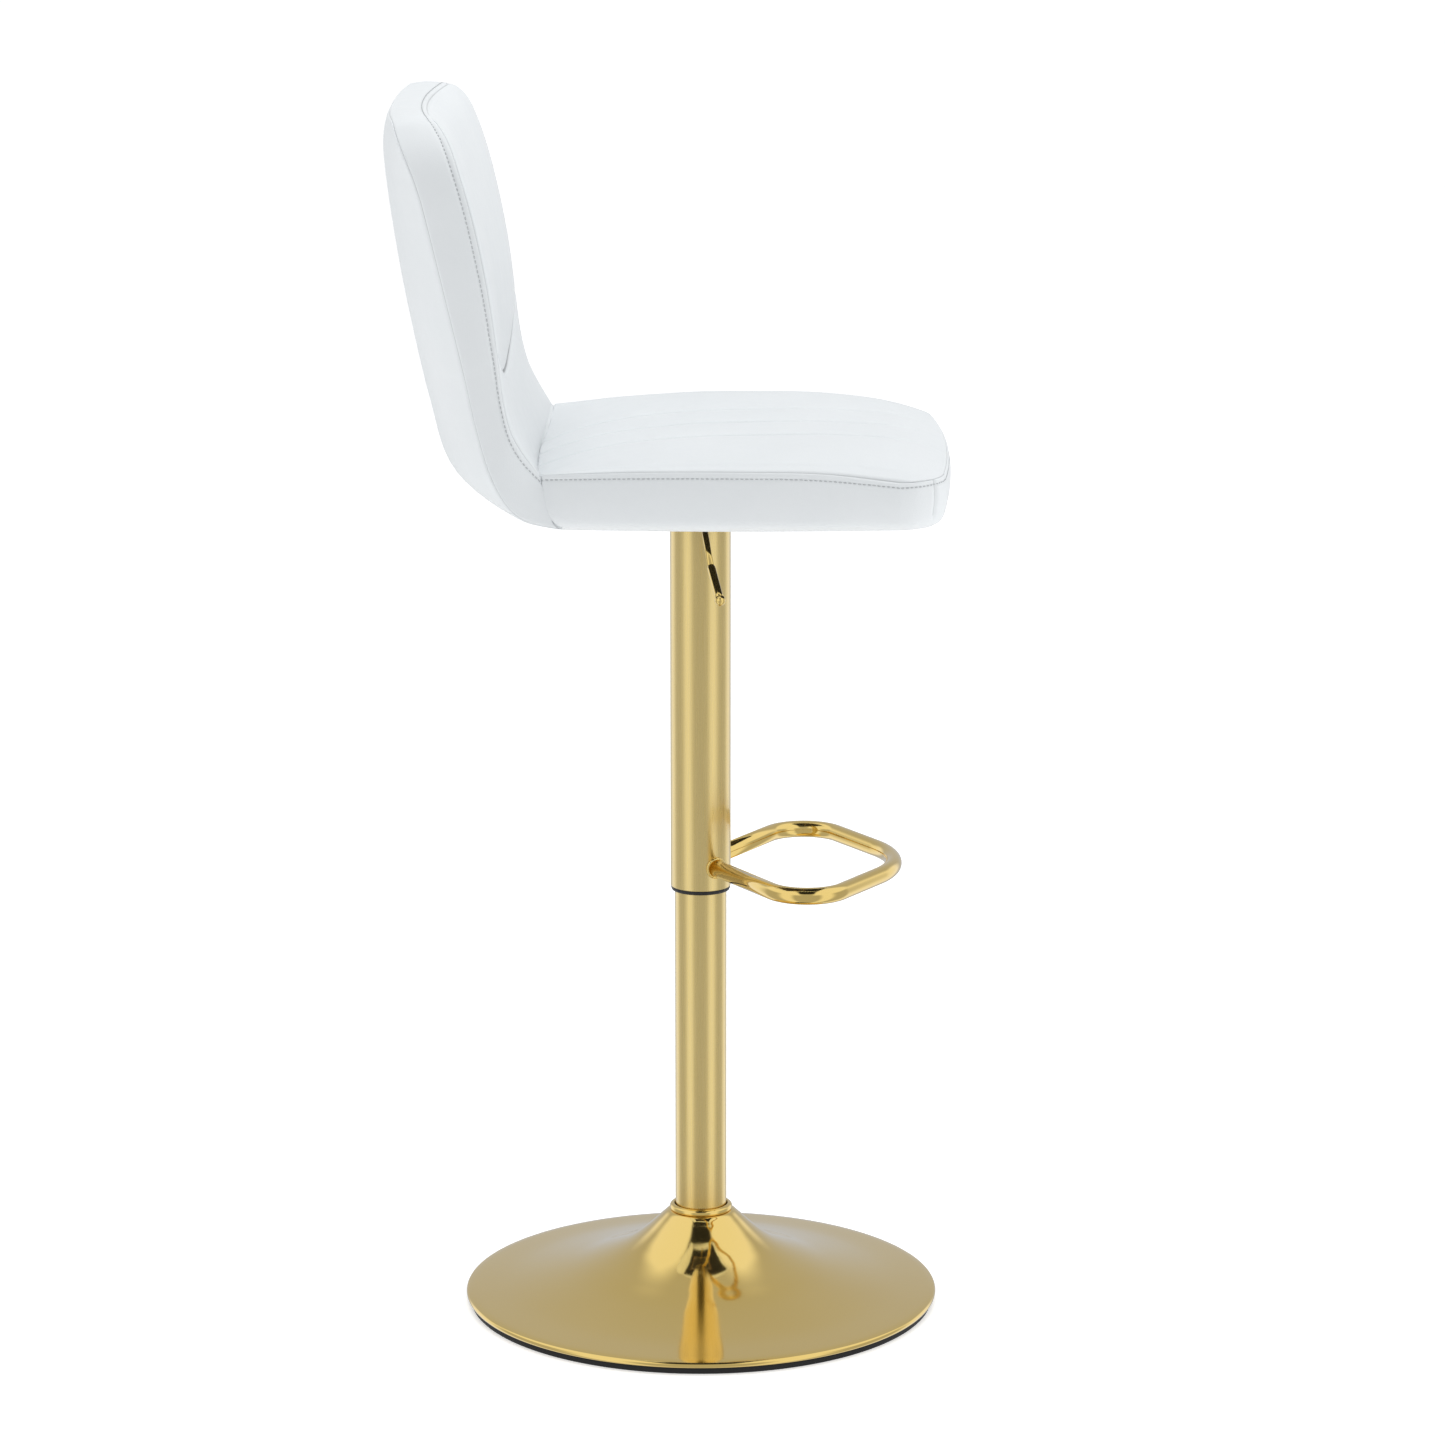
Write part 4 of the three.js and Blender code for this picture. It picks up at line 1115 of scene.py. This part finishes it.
# ---------------------------------------------------------------- topstitching
STITCH_PITCH = 4.4
STITCH_LENGTH = 3.3
STITCH_MARGIN = 3  # without thread at each end of a row
THREAD_RADIUS = 0.5
THREAD_TAPER = (0.5, 0.95, 1, 0.95, 0.5)  # shares of the radius, from one end to the other
THREAD_SIDES = 6
THREAD_SINK = 0.25
THREAD_RISE = 0.5


def stitches(name, cover, path, material):
    """A row of short threads laid along a path on a cover, their ends pulled into the leather."""
    tree = BVHTree.FromObject(cover, bpy.context.evaluated_depsgraph_get())
    gone = distances(path)
    last = len(THREAD_TAPER) - 1
    points, faces = [], []
    for number in range(int((gone[-1] - 2 * STITCH_MARGIN) / STITCH_PITCH)):
        start = STITCH_MARGIN + number * STITCH_PITCH
        spots = []
        for k in range(last + 1):
            at = start + STITCH_LENGTH * k / last
            guess = [np.interp(at, gone, path[:, axis]) for axis in range(3)]
            spot, normal, _, _ = tree.find_nearest(Vector(placed([guess])[0]))
            lift = THREAD_RISE * math.sin(math.pi * k / last) - THREAD_SINK
            spots.append((np.array(spot) - np.array(COLUMN)) / MM + np.array(normal) * lift)
        ring, around = swept(spots, THREAD_RADIUS * np.array(THREAD_TAPER), THREAD_SIDES)
        faces += [tuple(i + len(points) * len(ring) for i in f) for f in around]
        points.append(ring)
    piece = new_piece(
        name, np.concatenate(points), faces, "white_leather", "seat_assembly", material=material
    )
    outward(piece)


# ---------------------------------------------------------------- studio
CAMERA_AT = (-4.997, -0.0526, 1.719)
CAMERA_DIP = 0.2268  # radians below level
CAMERA_LENS = 136.16
CAMERA_SENSOR = 36
FLOOR_REACH = 40
FLOOR_GLOW = 0.43  # brings the floor up to the white of what lies behind it
LAMP_AIM = (0, 0, 0.7)
LAMPS = [  # name, place, width, watts
    ("window_left", (0.2, 3.4, 1.6), 1.6, 15),
    ("window_right", (-0.2, -3.4, 1.4), 1.6, 26),
    ("overhead", (0.3, 0, 3.6), 2.6, 50),
]
WORLD_LIGHT = 0.68  # of the white that the camera sees behind the stool
WALLS = 0.56
BRIGHT = 0.5
DARK = 0.95


def camera():
    """The view of the stool at rest, from a little above."""
    scene = bpy.context.scene
    view = bpy.data.objects.new("camera", bpy.data.cameras.new("camera"))
    view.location = CAMERA_AT
    view.rotation_euler = (math.pi / 2 - CAMERA_DIP, 0, -math.pi / 2)
    view.data.lens = CAMERA_LENS
    view.data.sensor_width = CAMERA_SENSOR
    scene.collection.objects.link(view)
    scene.camera = view
    scene.view_settings.view_transform = "Standard"


def floor():
    """A white floor that glows a little and doesn't show in polished metal."""
    mesh = bpy.data.meshes.new("floor")
    corners = [(FLOOR_REACH * x, FLOOR_REACH * y, 0) for x, y in ((-1, -1), (1, -1), (1, 1), (-1, 1))]
    mesh.from_pydata(corners, [], [(0, 1, 2, 3)])
    material, shader, add = finish("pale_floor", (0.9, 0.9, 0.9), specular=0.1)
    vector = surface_vector(add)
    clouds = roughened(material, shader, add, vector, 0.85, 0.95, 2.0)
    toned(material, shader, add, clouds.outputs["Fac"], (0.89, 0.89, 0.89), (0.91, 0.91, 0.91))
    shader.inputs["Emission Color"].default_value = (1, 1, 1, 1)
    shader.inputs["Emission Strength"].default_value = FLOOR_GLOW
    mesh.materials.append(material)
    piece = bpy.data.objects.new("floor", mesh)
    piece.visible_glossy = False
    bpy.context.scene.collection.objects.link(piece)


def lamps():
    """Soft square lamps at both sides and overhead, which polished metal doesn't show."""
    for name, where, size, power in LAMPS:
        lamp = bpy.data.lights.new(name, "AREA")
        lamp.shape = "SQUARE"
        lamp.size = size
        lamp.energy = power
        light = bpy.data.objects.new(name, lamp)
        light.location = where
        aim = Vector(LAMP_AIM) - Vector(where)
        light.rotation_euler = aim.to_track_quat("-Z", "Y").to_euler()
        light.visible_glossy = False
        bpy.context.scene.collection.objects.link(light)


def sky():
    """Even white light all round, and a room that only reflections show.

    The room has pale walls with a window at each side, a ceiling that is bright at both sides, and
    a dark strip high up on the camera's side.
    """
    world = bpy.data.worlds.new("studio")
    world.use_nodes = True
    bpy.context.scene.world = world
    tree = world.node_tree
    add = node_maker(tree)

    def maths(operation, first, second=0.0):
        return add("ShaderNodeMath", {0: first, 1: second}, operation=operation).outputs[0]

    def step(value, start, end):
        inputs = {"Value": value, "From Min": start, "From Max": end, "To Min": 0.0, "To Max": 1.0}
        return add("ShaderNodeMapRange", inputs, interpolation_type="SMOOTHSTEP").outputs[0]

    direction = add("ShaderNodeTexCoord").outputs["Generated"]
    x, y, z = add("ShaderNodeSeparateXYZ", {0: direction}).outputs
    aside = maths("ABSOLUTE", y)
    level = maths("SQRT", maths("SUBTRACT", 1.0, maths("MULTIPLY", z, z)))
    bearing = maths("DIVIDE", aside, maths("MAXIMUM", level, 0.01))
    window = maths("MULTIPLY", step(bearing, 0.45, 0.66), step(bearing, 0.98, 0.84))
    ceiling = maths("MULTIPLY", step(aside, 0.14, 0.34), step(x, 0.62, 0.40))
    high = step(z, 0.28, 0.50)
    bright = maths("ADD", window, maths("MULTIPLY", high, maths("SUBTRACT", ceiling, window)))
    walls = maths("ADD", WALLS, maths("MULTIPLY", bright, BRIGHT))
    dark = maths("MULTIPLY", step(aside, 0.30, 0.22), step(x, 0.12, 0.0))
    dark = maths("MULTIPLY", dark, step(z, 0.60, 0.68))
    seen = maths("MULTIPLY", walls, maths("SUBTRACT", 1.0, maths("MULTIPLY", dark, DARK)))
    ray = add("ShaderNodeLightPath")
    unlit = maths("MULTIPLY", ray.outputs["Is Camera Ray"], 1 - WORLD_LIGHT)
    mirrored = maths("MULTIPLY", ray.outputs["Is Glossy Ray"], maths("SUBTRACT", seen, WORLD_LIGHT))
    strength = maths("ADD", maths("ADD", WORLD_LIGHT, unlit), mirrored)
    background = tree.nodes["Background"]
    background.inputs["Color"].default_value = (0.985, 0.992, 1.0, 1)
    tree.links.new(strength, background.inputs["Strength"])


# ---------------------------------------------------------------- the stool
dress_cad_nodes()
base_cover()
metal_tubes()
footrest()
footrest_weld(1, "footrest_weld_left")
footrest_weld(-1, "footrest_weld_right")
lever()
sewing_thread = thread()
seat, seat_line = seat_cushion()
back, back_line = backrest()
stitches("seat_topstitch", seat, seat_line, sewing_thread)
stitches("backrest_topstitch", back, back_line, sewing_thread)
camera()
floor()
lamps()
sky()
